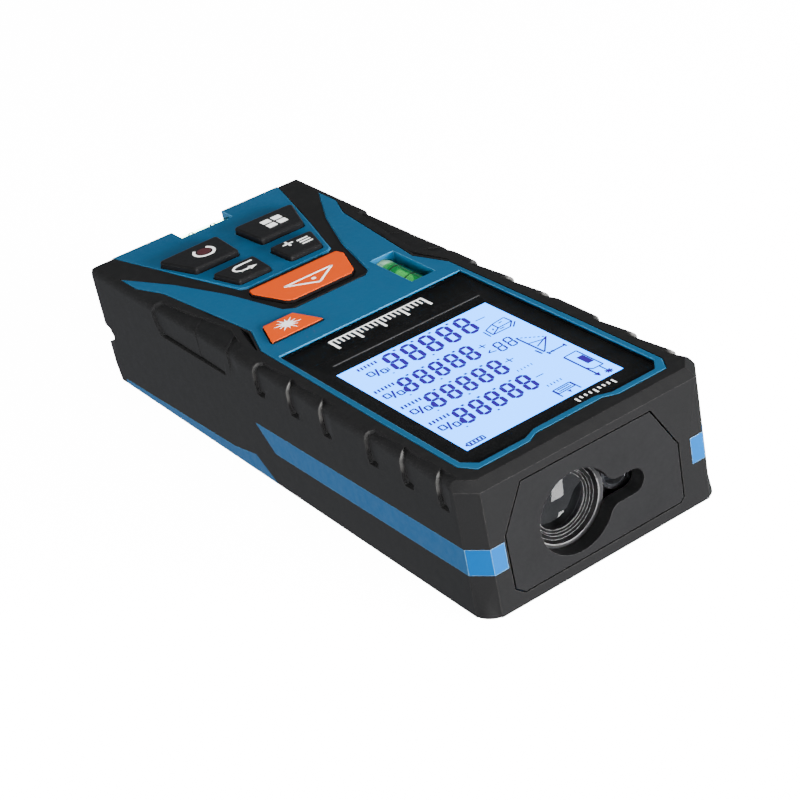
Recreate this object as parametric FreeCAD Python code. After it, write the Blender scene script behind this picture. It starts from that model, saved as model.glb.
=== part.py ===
import FreeCAD, Part
import math
import os

from FreeCAD import Vector

# A hand-held laser distance meter, lying on its back. Millimetres.
# Origin: centre of the back face. +Y points to the laser end, +Z out of the display, +X to the user's right.

# --- driving dimensions: housing ---
LENGTH = 126.0
HEIGHT = 25.0
HALF_WIDTH_KEYPAD = 25.2
HALF_WIDTH_LASER = 24.8
LASER_FACE_HALF = 22.0
CORNER_CUT_Y = 3.2
CORNER_FOOT_R = 4.0
CORNER_FOOT_TOP_R = 3.5
CORNER_FOOT_H = 4.0
KEYPAD_CORNER_CUT = 0.9
END_Y = LENGTH / 2

TOP_EDGE_R = 1.6
LASER_BEVEL = 1.5
KEYPAD_BEVEL = 0.6
THUMB_SCOOP = (-37.6, -3.0)
THUMB_SCOOP_DEPTH = 0.9
THUMB_SCOOP_Z0 = 18.9
FINGER_SCOOP_Y = (3.0, 13.7, 24.0, 38.3, 47.6)
FINGER_SCOOP_LEN = 9.2
FINGER_SCOOP_DEPTH = 0.7
FINGER_SCOOP_Z0 = 19.2
END_SLOPE_Z = 8.0
END_SLOPE_Y = 1.8

JACKET_T = 1.6
SHELL_T = 1.5
PLATE_UNDER_Z = 22.4
SKIN_Z = 23.8
COLLAR_DROP = 0.45
COLLAR_Y = (-52.0, -12.6)
RIM_CHAMFER = 0.25
CAVITY_END_Y = -57.6

REAR_PLATE_T = 1.5
GASKET_T = 0.5
SHELL_BOTTOM_Z = REAR_PLATE_T + GASKET_T
LIP_T = 1.2
LIP_TOP_Z = 3.2
LIP_GAP = 0.15

# --- driving dimensions: display ---
GLASS_HALF = 20.0
GLASS_Y0 = 1.5
GLASS_Y1 = 57.9
GLASS_TOP_Z = 24.7
GLASS_T = 0.8
MASK_T = 0.1
VIEW_HALF = 16.2
VIEW_Y0 = 13.9
VIEW_Y1 = 52.05
LCD_HALF = 17.2
LCD_Y0 = 8.5
LCD_Y1 = 54.5
LCD_TOP_Z = 23.7
LCD_T = 1.7
BACKLIGHT_T = 1.4
HOLDER_WALL = 1.1
HOLDER_GAP = 0.1

# --- driving dimensions: circuit board and keys ---
BOARD_TOP_Z = 20.3
BOARD_T = 1.0
BOARD_HALF = 20.5
BOARD_Y0 = -54.8
BOARD_Y1 = 55.0
KEY_GAP = 0.25
KEY_EDGE_R = 0.45
FLANGE_OVER = 0.7
FLANGE_Z0 = 21.6
FLANGE_Z1 = 22.2
PLUNGER_R = 1.8
PLUNGER_Z0 = 21.2
DOME_R = 2.5
DOME_H = 0.25
MAT_T = 0.65
MAT_HOLE_R = 3.0
BIG_KEY_RISE = 1.2
SMALL_KEY_RISE = 0.9
ORANGE_KEY_RISE = 0.3

# --- driving dimensions: bubble vials ---
SIDE_VIAL_X = -14.3
SIDE_VIAL_Y = -9.2
SIDE_VIAL_Z = 21.0
SIDE_VIAL_R = 3.2
SIDE_VIAL_LEN = 14.8
SIDE_WINDOW = (-17.0, -11.65, -16.1, -2.25)
SIDE_CRADLE = (-18.4, -10.2, -17.4, -0.9)
SIDE_CRADLE_Z0 = 16.8
END_VIAL_Y = -60.3
END_VIAL_Z = 21.75
END_VIAL_R = 2.45
END_VIAL_LEN = 14.4
END_NOTCH_HALF = 6.0
END_NOTCH_Y = -58.3
END_NOTCH_DROP = 1.2
END_CRADLE = (-9.0, 9.0, -58.1, -55.6)
END_CRADLE_Z0 = 17.0
VIAL_WALL = 0.35
PLUG_T = 2.0
BUBBLE_R = 1.05
BUBBLE_HALF_LEN = 2.4
BUBBLE_FILM = 0.12
BUBBLE_RUN_GAP = 0.05
BUBBLE_TRAVEL = 2.5

# --- driving dimensions: optics ---
LENS_X = 4.8
LENS_Z = 11.2
KEYHOLE_R = 7.5
EMITTER_X = -6.8
EMITTER_Z = 11.0
SLOT_R = 2.3
KEYHOLE_FILLET = 2.2
PANEL_GAP = 0.35
PANEL_LIP_T = 0.5
PANEL_LIP_Y0 = 60.0
APERTURE_GAP = 0.6
LENS_R = 7.0
BARREL_R = 7.8
BARREL_Y0 = 37.6
BARREL_Y1 = 59.8
LENS_Y = 57.0
LENS_EDGE_T = 1.6
LENS_BULGE = 1.1
MODULE_R = 2.9
MODULE_Y0 = 41.0
MODULE_Y1 = 58.4
OPTICS_BOARD_Y = 33.0
BENCH_X = (-11.5, 13.6)
BENCH_Z = (3.0, 19.1)
BENCH_PLATES_Y = ((52.0, 56.0), (42.0, 45.0))
BENCH_RAIL_X1 = -4.0
BENCH_RAILS_Z = ((14.6, 17.6), (4.4, 7.4))

# --- driving dimensions: power and fasteners ---
CELL_R = 5.2
CELL_LEN = 43.7
CELL_NUB = 0.8
CELL_Z = 7.4
BAY_HALF = 11.2
BAY_Y0 = -55.0
BAY_Y1 = -7.0
BAY_TOP_Z = 13.2
BAY_WALL = 1.2
COVER_Z0 = 0.2
COVER_T = 1.2
COVER_LEDGE = 1.1
COVER_GAP = 0.15
TRIPOD_Y = 12.0
TRIPOD_INSERT_R = 4.6
TRIPOD_HOLE_R = 2.6
TRIPOD_DEPTH = 7.0
TRIPOD_BOSS_R = 6.6
CASE_SCREW_X = 19.3
CASE_SCREW_Y = (-49.0, 50.0)
CASE_BOSS_R = 2.6
BOSS_WEB_T = 2.4
SCREW_PAD_R = 2.2
CASE_SCREW_Z = 0.3
CASE_SCREW_LEN = 9.0
BOARD_POST_R = 1.5
BOARD_SCREW_X = 19.0
BOARD_SCREW_Y = (-26.0, 4.0)
STRAP_X = 18.5
STRAP_Y = -61.4
STRAP_R = 0.8
STRAP_BAR_Z = (6.5, 14.0)
STRAP_GROOVE_X0 = 14.0


# ---------------------------------------------------------------- helpers

def unit(vector):
    return vector.multiply(1.0 / vector.Length)


def outline(corners, z=0.0):
    """A face from corners (x, y) or (x, y, radius); a corner with a radius becomes an arc."""
    edges = []
    starts = []
    ends = []
    count = len(corners)
    points = [Vector(c[0], c[1], z) for c in corners]
    for i, corner in enumerate(corners):
        here = points[i]
        radius = corner[2] if len(corner) > 2 else 0.0
        if radius <= 0:
            starts.append(here)
            ends.append(here)
            edges.append(None)
            continue
        back = unit(points[i - 1] - here)
        ahead = unit(points[(i + 1) % count] - here)
        half = back.getAngle(ahead) / 2
        reach = radius / math.tan(half)
        first = here + Vector(back).multiply(reach)
        last = here + Vector(ahead).multiply(reach)
        middle_way = unit(back + ahead)
        centre = here + Vector(middle_way).multiply(radius / math.sin(half))
        middle = centre - Vector(middle_way).multiply(radius)
        starts.append(first)
        ends.append(last)
        edges.append(Part.Arc(first, middle, last).toShape())
    loop = []
    for i in range(count):
        if edges[i] is not None:
            loop.append(edges[i])
        following = (i + 1) % count
        if (ends[i] - starts[following]).Length > 1e-6:
            loop.append(Part.makeLine(ends[i], starts[following]))
    return Part.Face(Part.Wire(loop))


def prism(corners, z0, z1):
    return outline(corners, z0).extrude(Vector(0, 0, z1 - z0))


def grown_prism(corners, grow, z0, z1):
    """A prism whose outline stands off the given corners by grow."""
    face = outline(corners, z0).makeOffset2D(grow, 2)
    return face.extrude(Vector(0, 0, z1 - z0))


def prism_x(points, x0, x1):
    """A prism along X from (y, z) points."""
    wire = Part.makePolygon([Vector(x0, y, z) for y, z in points + points[:1]])
    return Part.Face(wire).extrude(Vector(x1 - x0, 0, 0))


def box(x0, x1, y0, y1, z0, z1):
    return Part.makeBox(x1 - x0, y1 - y0, z1 - z0, Vector(x0, y0, z0))


def rod_x(radius, x0, x1, y, z):
    return Part.makeCylinder(radius, x1 - x0, Vector(x0, y, z), Vector(1, 0, 0))


def rod_y(radius, x, y0, y1, z):
    return Part.makeCylinder(radius, y1 - y0, Vector(x, y0, z), Vector(0, 1, 0))


def rod_z(radius, x, y, z0, z1):
    return Part.makeCylinder(radius, z1 - z0, Vector(x, y, z0))


def mirrored(shape):
    return shape.mirror(Vector(0, 0, 0), Vector(1, 0, 0))


def both_sides(points):
    """Closes a right-hand run of corners with its mirror image about X = 0."""
    left = [(-p[0],) + tuple(p[1:]) for p in reversed(points)]
    return list(points) + left


def fuse_all(shapes):
    whole = shapes[0]
    for shape in shapes[1:]:
        whole = whole.fuse(shape)
    return whole.removeSplitter()


def cut_all(shape, tools):
    for tool in tools:
        shape = shape.cut(tool)
    return shape


def edges_at_z(shape, z):
    """The edges that lie wholly at height z."""
    found = []
    for edge in shape.Edges:
        if abs(edge.BoundBox.ZMin - z) < 1e-4 and abs(edge.BoundBox.ZMax - z) < 1e-4:
            found.append(edge)
    return found


def save(name, shape):
    solids = shape.Solids
    whole = solids[0] if len(solids) == 1 else Part.makeCompound(solids)
    whole.exportStep(os.path.join("parts", name + ".step"))


# ---------------------------------------------------------------- housing outlines

def body_corners():
    """The housing seen from above, narrowing slightly to the laser end, with cut corners."""
    right = [
        (HALF_WIDTH_KEYPAD - KEYPAD_CORNER_CUT, -END_Y),
        (HALF_WIDTH_KEYPAD, -END_Y + KEYPAD_CORNER_CUT),
        (HALF_WIDTH_LASER, END_Y - CORNER_CUT_Y),
        (LASER_FACE_HALF, END_Y),
    ]
    return both_sides(right)


def body_prism(inset, z0, z1):
    return grown_prism(body_corners(), -inset, z0, z1)


def end_slope(inset):
    """The wedge that the sloped lower half of the keypad-end face leaves off the housing."""
    outer_y = -END_Y - 5
    points = [
        (outer_y, END_SLOPE_Z),
        (-END_Y + inset, END_SLOPE_Z),
        (-END_Y + END_SLOPE_Y + inset, 0.0),
        (-END_Y + END_SLOPE_Y + inset, -1.0),
        (outer_y, -1.0),
    ]
    return prism_x(points, -40, 40)


def frame_corners():
    """The blue display frame with its two wings that flank the keypad."""
    right = [
        (7.8, -12.2),
        (9.5, -13.7),
        (12.9, -28.0, 30.0),
        (17.5, -40.8),
        (20.9, -47.7),
        (23.5, -52.8),
        (23.5, -45.9),
        (21.1, -39.4, 6.0),
        (18.2, -11.1),
        (21.0, -3.2),
        (21.3, 35.0),
        (21.2, 56.2),
        (19.4, 59.35),
        (9.1, 59.35),
        (6.8, 58.15),
    ]
    return both_sides(right)


def key_plate_corners():
    right = [
        (19.9, -END_Y),
        (18.4, -56.9),
        (14.6, -42.5),
        (10.4, -27.9),
        (9.1, -27.1),
    ]
    return both_sides(right)


def glass_corners():
    right = [
        (GLASS_HALF, GLASS_Y0),
        (GLASS_HALF, GLASS_Y1 - 2.5),
        (GLASS_HALF - 2.0, GLASS_Y1),
        (8.9, GLASS_Y1),
        (6.3, GLASS_Y1 - 1.2),
    ]
    return both_sides(right)


def panel_corners():
    """The laser-end face panel as (x, z)."""
    return [
        (14.4, 21.8),
        (18.7, 13.9),
        (18.5, 3.8),
        (16.9, 2.4),
        (-15.8, 2.4),
        (-16.5, 3.1),
        (-16.6, 13.3),
        (-11.9, 21.6),
    ]


# ---------------------------------------------------------------- keys

def mirror_corners(corners):
    return [(-c[0],) + tuple(c[1:]) for c in reversed(corners)]


POWER_KEY = [(2.0, -50.8, 0.8), (15.8, -50.5, 0.8), (12.5, -40.8, 0.8), (2.6, -40.8, 0.8)]
UNIT_KEY = [(1.8, -36.9, 0.7), (11.5, -36.6, 0.7), (9.5, -29.3, 0.7), (2.2, -29.3, 0.7)]
MEASURE_KEY = both_sides([(9.9, -25.3, 0.6), (10.4, -23.3, 0.6), (7.7, -15.7, 0.5), (6.5, -14.6, 0.5)])
LASER_KEY = [(9.5, -10.4, 0.3), (16.0, -10.4, 0.3), (18.3, -3.5, 0.3), (7.0, -3.5, 0.3)]

KEYS = {
    "power_key": (POWER_KEY, BIG_KEY_RISE),
    "function_key": (mirror_corners(POWER_KEY), BIG_KEY_RISE),
    "unit_key": (UNIT_KEY, SMALL_KEY_RISE),
    "save_key": (mirror_corners(UNIT_KEY), SMALL_KEY_RISE),
    "measure_key": (MEASURE_KEY, ORANGE_KEY_RISE),
    "laser_key": (LASER_KEY, ORANGE_KEY_RISE),
}


def key_centre(corners):
    centre = outline(corners).CenterOfMass
    return centre.x, centre.y


def key_cap(corners, rise):
    """A rigid cap with softened top edges, a retaining flange and a plunger over its dome."""
    top = HEIGHT + rise
    cap = prism(corners, FLANGE_Z0, top)
    cap = cap.makeFillet(min(KEY_EDGE_R, rise * 0.6), edges_at_z(cap, top))
    flange = grown_prism(corners, FLANGE_OVER, FLANGE_Z0, FLANGE_Z1)
    x, y = key_centre(corners)
    plunger = rod_z(PLUNGER_R, x, y, PLUNGER_Z0, FLANGE_Z0)
    return fuse_all([cap, flange, plunger])


def key_openings():
    return [grown_prism(corners, KEY_GAP, PLATE_UNDER_Z - 1, HEIGHT + 1) for corners, _ in KEYS.values()]


def key_mat():
    """The silicone sheet on the board, open around each dome and pressed key."""
    sheet = prism([(-16.5, -53.0), (16.5, -53.0), (16.5, -1.0), (-9.0, -1.0), (-9.0, -19.0), (-14.0, -30.0)],
                  BOARD_TOP_Z, BOARD_TOP_Z + MAT_T)
    holes = [rod_z(MAT_HOLE_R, *key_centre(c), BOARD_TOP_Z - 1, BOARD_TOP_Z + 2) for c, _ in KEYS.values()]
    return cut_all(sheet, holes)


def dome_switches():
    domes = []
    for corners, _ in KEYS.values():
        x, y = key_centre(corners)
        domes.append(Part.makeCone(DOME_R, DOME_R * 0.6, DOME_H, Vector(x, y, BOARD_TOP_Z)))
    return Part.makeCompound(domes)


# ---------------------------------------------------------------- vials

def side_window():
    x0, x1, y0, y1 = SIDE_WINDOW
    return box(x0, x1, y0, y1, SIDE_VIAL_Z, HEIGHT + 1)


def side_vial_rod(radius, half):
    return rod_y(radius, SIDE_VIAL_X, SIDE_VIAL_Y - half, SIDE_VIAL_Y + half, SIDE_VIAL_Z)


def end_vial_rod(radius, half):
    return rod_x(radius, -half, half, END_VIAL_Y, END_VIAL_Z)


def capsule(centre, direction, radius, half):
    """A round-ended rod about centre, half long each way, its end balls included."""
    straight = half - radius
    reach = Vector(direction).multiply(straight)
    rod = Part.makeCylinder(radius, 2 * straight, centre - reach, direction)
    return fuse_all([rod, Part.makeSphere(radius, centre - reach), Part.makeSphere(radius, centre + reach)])


def vial_pieces(rod, radius, length, centre, direction):
    """Tube, two end plugs, liquid with a clear run for the bubble, and the bubble high in the bore."""
    half = length / 2
    inner_r = radius - VIAL_WALL
    bubble_centre = centre + Vector(0, 0, inner_r - BUBBLE_R - BUBBLE_FILM)
    tube = rod(radius, half).cut(rod(inner_r, half))
    plugs = rod(inner_r, half).cut(rod(inner_r, half - PLUG_T)).Solids
    liquid = rod(inner_r, half - PLUG_T)
    run_r = BUBBLE_R + BUBBLE_RUN_GAP
    run = capsule(bubble_centre, direction, run_r, BUBBLE_HALF_LEN + BUBBLE_TRAVEL + 2 * BUBBLE_RUN_GAP)
    bubble = capsule(bubble_centre, direction, BUBBLE_R, BUBBLE_HALF_LEN)
    return {"tube": tube, "plugs": Part.makeCompound(plugs), "liquid": liquid.cut(run), "bubble": bubble}


def side_vial():
    centre = Vector(SIDE_VIAL_X, SIDE_VIAL_Y, SIDE_VIAL_Z)
    return vial_pieces(side_vial_rod, SIDE_VIAL_R, SIDE_VIAL_LEN, centre, Vector(0, 1, 0))


def end_vial():
    centre = Vector(0, END_VIAL_Y, END_VIAL_Z)
    return vial_pieces(end_vial_rod, END_VIAL_R, END_VIAL_LEN, centre, Vector(1, 0, 0))


def end_notch():
    """The opening over the end vial, through the top edge and the end face."""
    floor_z = END_VIAL_Z - END_NOTCH_DROP
    return box(-END_NOTCH_HALF, END_NOTCH_HALF, -END_Y - 1, END_NOTCH_Y, floor_z, HEIGHT + 1)


# ---------------------------------------------------------------- strap

def strap_groove():
    """A hooked groove across the keypad-end corner on the right, where the wrist strap is tied."""
    points = [(-END_Y - 1, 13.2), (-60.5, 12.3), (-59.4, 10.8), (-59.4, 10.0), (-END_Y - 1, 7.8)]
    return prism_x(points, STRAP_GROOVE_X0, HALF_WIDTH_KEYPAD + 1)


def strap_bar():
    return rod_z(STRAP_R, STRAP_X, STRAP_Y, *STRAP_BAR_Z)


# ---------------------------------------------------------------- housing pieces

def corner_feet():
    """Rounded toes that fill out the cut laser-end corners towards the back face."""
    toe = Part.makeCone(CORNER_FOOT_R, CORNER_FOOT_TOP_R, CORNER_FOOT_H,
                        Vector(HALF_WIDTH_LASER - CORNER_FOOT_R, END_Y - CORNER_FOOT_R, 0))
    return [toe, mirrored(toe)]


def corner_bevels():
    """Wedges that carry the laser-end bevel round the two corner cuts."""
    wedges = []
    run = HALF_WIDTH_LASER - LASER_FACE_HALF
    turn = math.degrees(math.atan2(CORNER_CUT_Y, run))
    middle_x = (HALF_WIDTH_LASER + LASER_FACE_HALF) / 2
    for side in (1, -1):
        wedge = prism_x([(-LASER_BEVEL, HEIGHT), (1, HEIGHT - LASER_BEVEL - 1), (1, HEIGHT + 1),
                         (-LASER_BEVEL, HEIGHT + 1)], -10, 10)
        wedge.rotate(Vector(0, 0, 0), Vector(0, 0, 1), -side * turn)
        wedge.translate(Vector(side * middle_x, END_Y - CORNER_CUT_Y / 2, 0))
        wedges.append(wedge)
    return wedges


def envelope():
    """The whole housing before it is divided into shells and jacket."""
    body = body_prism(0, 0, HEIGHT)
    long_edges = []
    for edge in edges_at_z(body, HEIGHT):
        if edge.BoundBox.YLength > LENGTH / 2:
            long_edges.append(edge)
    body = body.makeFillet(TOP_EDGE_R, long_edges)
    bevel = prism_x([(END_Y - LASER_BEVEL, HEIGHT), (END_Y + 1, HEIGHT - LASER_BEVEL - 1),
                     (END_Y + 1, HEIGHT + 1), (END_Y - LASER_BEVEL, HEIGHT + 1)], -40, 40)
    end_bevel = prism_x([(-END_Y + KEYPAD_BEVEL, HEIGHT), (-END_Y - 1, HEIGHT - KEYPAD_BEVEL - 1),
                         (-END_Y - 1, HEIGHT + 1), (-END_Y + KEYPAD_BEVEL, HEIGHT + 1)], -40, 40)
    body = cut_all(body, [bevel, end_bevel, end_slope(0)] + corner_bevels())
    return fuse_all([body] + corner_feet())


def side_scoop(y0, y1, depth, z0):
    """A finger scoop in both sides: deepest at y0, running out at y1."""
    wedge = [(26.5, y0), (26.5, y1), (HALF_WIDTH_LASER, y1), (HALF_WIDTH_LASER - depth, y0)]
    right = prism(wedge, z0, HEIGHT + 1)
    return [right, mirrored(right)]


def finger_scoops():
    scoops = side_scoop(*THUMB_SCOOP, THUMB_SCOOP_DEPTH, THUMB_SCOOP_Z0)
    for y in FINGER_SCOOP_Y:
        scoops += side_scoop(y, y + FINGER_SCOOP_LEN, FINGER_SCOOP_DEPTH, FINGER_SCOOP_Z0)
    return scoops


def keyhole(y0, y1, grow=0.0):
    """The aperture: a large round for the receiver joined to a round-ended slot for the beam."""
    round_hole = rod_y(KEYHOLE_R + grow, LENS_X, y0, y1, LENS_Z)
    slot = box(EMITTER_X, LENS_X, y0, y1, EMITTER_Z - SLOT_R - grow, EMITTER_Z + SLOT_R + grow)
    slot_end = rod_y(SLOT_R + grow, EMITTER_X, y0, y1, EMITTER_Z)
    whole = fuse_all([round_hole, slot, slot_end])
    junctions = []
    for edge in whole.Edges:
        middle = edge.CenterOfMass
        along_y = edge.BoundBox.YLength > abs(y1 - y0) - 1e-3
        if along_y and EMITTER_X + 1 < middle.x < LENS_X - 1:
            junctions.append(edge)
    return whole.makeFillet(KEYHOLE_FILLET, junctions)


def side_ring(z0, z1):
    """The jacket's wall all round, between two heights."""
    return body_prism(0, z0, z1).cut(body_prism(JACKET_T, z0, z1))


def side_trims(body):
    """Blue strips let into both sides: a long mid-height one and a low one at the keypad end."""
    corner_y = END_Y - CORNER_CUT_Y
    middle = [(-3.6, 11.9), (1.7, 7.3), (corner_y, 8.1), (corner_y, 13.0)]
    low = [(-59.0, -0.5), (0.5, -0.5), (-6.6, 3.9), (-14.6, 2.5), (-59.0, 1.0)]
    ring = side_ring(0, HEIGHT).common(body)
    pieces = []
    for points in (middle, low):
        for shape in (prism_x(points, 20, 27), prism_x(points, -27, -20)):
            pieces += ring.common(shape).Solids
    return pieces


def corner_accents(body):
    ring = side_ring(0, HEIGHT).common(body)
    pieces = []
    for x0, x1 in ((19.3, 27), (-27, -19.3)):
        pieces += ring.common(box(x0, x1, END_Y - CORNER_CUT_Y, END_Y + 1, 8.1, 13.0)).Solids
    return pieces


def islands(chamfer):
    """The raised blue areas of the top: the display frame and the key plate."""
    raised = []
    for corners in (frame_corners(), key_plate_corners()):
        block = prism(corners, SKIN_Z - 0.4, HEIGHT)
        if chamfer:
            block = block.makeChamfer(chamfer, edges_at_z(block, HEIGHT))
        raised.append(block)
    return raised


def front_panel_block(grow, y0, y1):
    """The panel's outline, grown and drawn out from y0 to y1."""
    corners = panel_corners()
    wire = Part.makePolygon([Vector(x, y0, z) for x, z in corners + corners[:1]])
    face = Part.Face(wire)
    if grow:
        face = face.makeOffset2D(grow, 2)
    return face.extrude(Vector(0, y1 - y0, 0))


def collar_dip():
    """The rubber V around the keypad sinks gently below the blue plates on its way to the display."""
    start_y, end_y = COLLAR_Y
    right = [(9.5, end_y), (18.2, -40.8), (21.5, -47.7), (24.0, start_y), (17.3, start_y), (9.0, -27.6)]
    plan = prism(both_sides(right), HEIGHT - 1, HEIGHT + 1)
    ramp = [(start_y, HEIGHT), (end_y, HEIGHT - COLLAR_DROP), (end_y, HEIGHT + 1), (start_y, HEIGHT + 1)]
    return plan.common(prism_x(ramp, -30, 30))


def grip_jacket(body, fitted):
    """The black rubber jacket: sides, both ends, the rim of the top and the V around the keypad."""
    jacket = body.cut(body_prism(JACKET_T, -1, SKIN_Z).cut(end_slope(JACKET_T)))
    jacket = cut_all(jacket, islands(0))
    jacket = jacket.cut(collar_dip())
    jacket = jacket.cut(front_panel_block(PANEL_GAP, END_Y - JACKET_T - 0.5, END_Y + 1))
    tools = finger_scoops() + key_openings() + fitted
    tools += [end_notch(), end_vial_rod(END_VIAL_R, END_VIAL_LEN / 2), strap_groove(), strap_bar()]
    return cut_all(jacket, tools)


def front_panel():
    """The face panel, with a short lip that lines the shell's opening behind the keyhole."""
    back_y = END_Y - JACKET_T
    plate = front_panel_block(0, back_y, END_Y)
    lip = keyhole(PANEL_LIP_Y0, back_y, PANEL_LIP_T)
    return plate.fuse(lip).removeSplitter().cut(keyhole(PANEL_LIP_Y0 - 1, END_Y + 1))


def cavity(z0, z1, inset=0.0):
    """The hollow inside the front shell."""
    hollow = body_prism(JACKET_T + SHELL_T + inset, z0, z1)
    return hollow.cut(box(-40, 40, -END_Y - 1, CAVITY_END_Y + inset, z0 - 1, z1 + 1))


def case_bosses():
    bosses = []
    for x in (-CASE_SCREW_X, CASE_SCREW_X):
        for y in CASE_SCREW_Y:
            z0 = SHELL_BOTTOM_Z + 2
            z1 = BOARD_TOP_Z - BOARD_T - 0.1
            post = rod_z(CASE_BOSS_R, x, y, z0, z1)
            web_x = math.copysign(HALF_WIDTH_LASER - JACKET_T - SHELL_T / 2, x)
            web = box(min(x, web_x), max(x, web_x), y - BOSS_WEB_T / 2, y + BOSS_WEB_T / 2, z0, z1)
            bosses += [post, web]
    return bosses


def board_posts():
    posts = []
    for x in (-BOARD_SCREW_X, BOARD_SCREW_X):
        for y in BOARD_SCREW_Y:
            posts.append(rod_z(BOARD_POST_R, x, y, BOARD_TOP_Z, PLATE_UNDER_Z + 0.2))
    return posts


def front_shell():
    """The blue hard shell: a tub open at the back, with the top plate, display pocket and key openings."""
    tub = body_prism(JACKET_T, SHELL_BOTTOM_Z, SKIN_Z).cut(end_slope(JACKET_T))
    tub = tub.cut(cavity(SHELL_BOTTOM_Z - 1, PLATE_UNDER_Z))
    side_cradle = box(*SIDE_CRADLE, SIDE_CRADLE_Z0, PLATE_UNDER_Z + 0.1)
    end_cradle = box(*END_CRADLE, END_CRADLE_Z0, PLATE_UNDER_Z + 0.1)
    shell = fuse_all([tub, side_cradle, end_cradle] + islands(RIM_CHAMFER) + case_bosses() + board_posts())
    display_pocket = prism(glass_corners(), SKIN_Z, HEIGHT + 1)
    display_hole = box(-17.7, 17.7, 8.0, 55.0, PLATE_UNDER_Z - 1, HEIGHT)
    aperture = keyhole(END_Y - 8, END_Y + 1, APERTURE_GAP)
    tools = key_openings() + [display_pocket, display_hole, aperture]
    tools += [side_window(), side_vial_rod(SIDE_VIAL_R, SIDE_VIAL_LEN / 2)]
    tools += [end_notch(), end_vial_rod(END_VIAL_R, END_VIAL_LEN / 2), strap_groove(), strap_bar()]
    tools += case_screw_solids() + board_screw_solids()
    return cut_all(shell, tools).removeSplitter()


def gasket():
    ring = body_prism(JACKET_T, REAR_PLATE_T, SHELL_BOTTOM_Z).cut(end_slope(JACKET_T))
    return ring.cut(cavity(0, 5))


# ---------------------------------------------------------------- rear shell and battery bay

def bay_box(grow, z0, z1):
    return box(-BAY_HALF - grow, BAY_HALF + grow, BAY_Y0 - grow, BAY_Y1 + grow, z0, z1)


def rear_shell():
    """The back plate with its locating lip, battery bay, screw holes and tripod boss."""
    plate = body_prism(JACKET_T, 0, REAR_PLATE_T).cut(end_slope(JACKET_T))
    lip_core = cavity(REAR_PLATE_T - 1, LIP_TOP_Z + 1, LIP_GAP + LIP_T)
    lip = cavity(REAR_PLATE_T, LIP_TOP_Z, LIP_GAP).cut(lip_core)
    bay = bay_box(BAY_WALL, 0, BAY_TOP_Z + BAY_WALL)
    boss = rod_z(TRIPOD_BOSS_R, 0, TRIPOD_Y, 0, TRIPOD_DEPTH + 1.2)
    ribs = [box(-20.0, -TRIPOD_BOSS_R + 1, TRIPOD_Y - 0.6, TRIPOD_Y + 0.6, 0.5, 5.0),
            box(TRIPOD_BOSS_R - 1, 20.0, TRIPOD_Y - 0.6, TRIPOD_Y + 0.6, 0.5, 5.0)]
    screw_pads = []
    for x in (-CASE_SCREW_X, CASE_SCREW_X):
        for y in CASE_SCREW_Y:
            screw_pads.append(rod_z(SCREW_PAD_R, x, y, 0.5, SHELL_BOTTOM_Z + 1.9))
    shell = fuse_all([plate, lip, bay, boss] + ribs + screw_pads)
    opening = bay_box(COVER_LEDGE, -1, COVER_Z0 + COVER_T + 0.1)
    latch_notch = box(-4.0, 4.0, BAY_Y0 - 3.4, BAY_Y0, -1, COVER_Z0 + COVER_T + 0.1)
    tools = [bay_box(0, -1, BAY_TOP_Z), opening, latch_notch]
    tools.append(rod_z(TRIPOD_INSERT_R, 0, TRIPOD_Y, -1, TRIPOD_DEPTH))
    tools += case_screw_solids()
    return cut_all(shell, tools).removeSplitter()


def battery_cover():
    """The door over the cells, with a thumb latch towards the keypad end."""
    grow = COVER_LEDGE - COVER_GAP
    plate = bay_box(grow, COVER_Z0, COVER_Z0 + COVER_T)
    latch = box(-3.8, 3.8, BAY_Y0 - 3.2, BAY_Y0, COVER_Z0, COVER_Z0 + COVER_T)
    slots = [box(s * 4.4 - 0.3, s * 4.4 + 0.3, BAY_Y0 - 0.8, BAY_Y0 + 6, -1, 3) for s in (-1, 1)]
    ridges = []
    for i in range(4):
        y0 = BAY_Y0 - 2.4 + 1.5 * i
        ridges.append(box(-3.0, 3.0, y0, y0 + 0.6, 0.02, COVER_Z0))
    return cut_all(fuse_all([plate, latch] + ridges), slots)


def battery_pad():
    return box(-8.0, 8.0, -40.0, -22.0, COVER_Z0 + COVER_T, COVER_Z0 + COVER_T + 0.6)


def cell(x, nub_to_laser):
    """One AAA cell: a round can with its positive nub at one end."""
    middle = (BAY_Y0 + BAY_Y1) / 2
    start = middle - (CELL_LEN + CELL_NUB) / 2
    can_start = start if nub_to_laser else start + CELL_NUB
    nub_start = can_start + CELL_LEN if nub_to_laser else start
    can = rod_y(CELL_R, x, can_start, can_start + CELL_LEN, CELL_Z)
    ends = [e for e in can.Edges if e.Curve.TypeId == "Part::GeomCircle"]
    can = can.makeFillet(0.5, ends)
    return fuse_all([can, rod_y(1.9, x, nub_start, nub_start + CELL_NUB, CELL_Z)])


def cell_gap():
    return (BAY_Y1 - BAY_Y0 - CELL_LEN - CELL_NUB) / 2


def battery_contacts():
    """Thin nickel-plated leaves at both ends of the bay."""
    leaves = []
    for x in (-CELL_R - 0.2, CELL_R + 0.2):
        for y in (BAY_Y0, BAY_Y1 - 0.3):
            leaves.append(box(x - 4.2, x + 4.2, y, y + 0.3, 2.6, 12.4))
    return leaves


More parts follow.
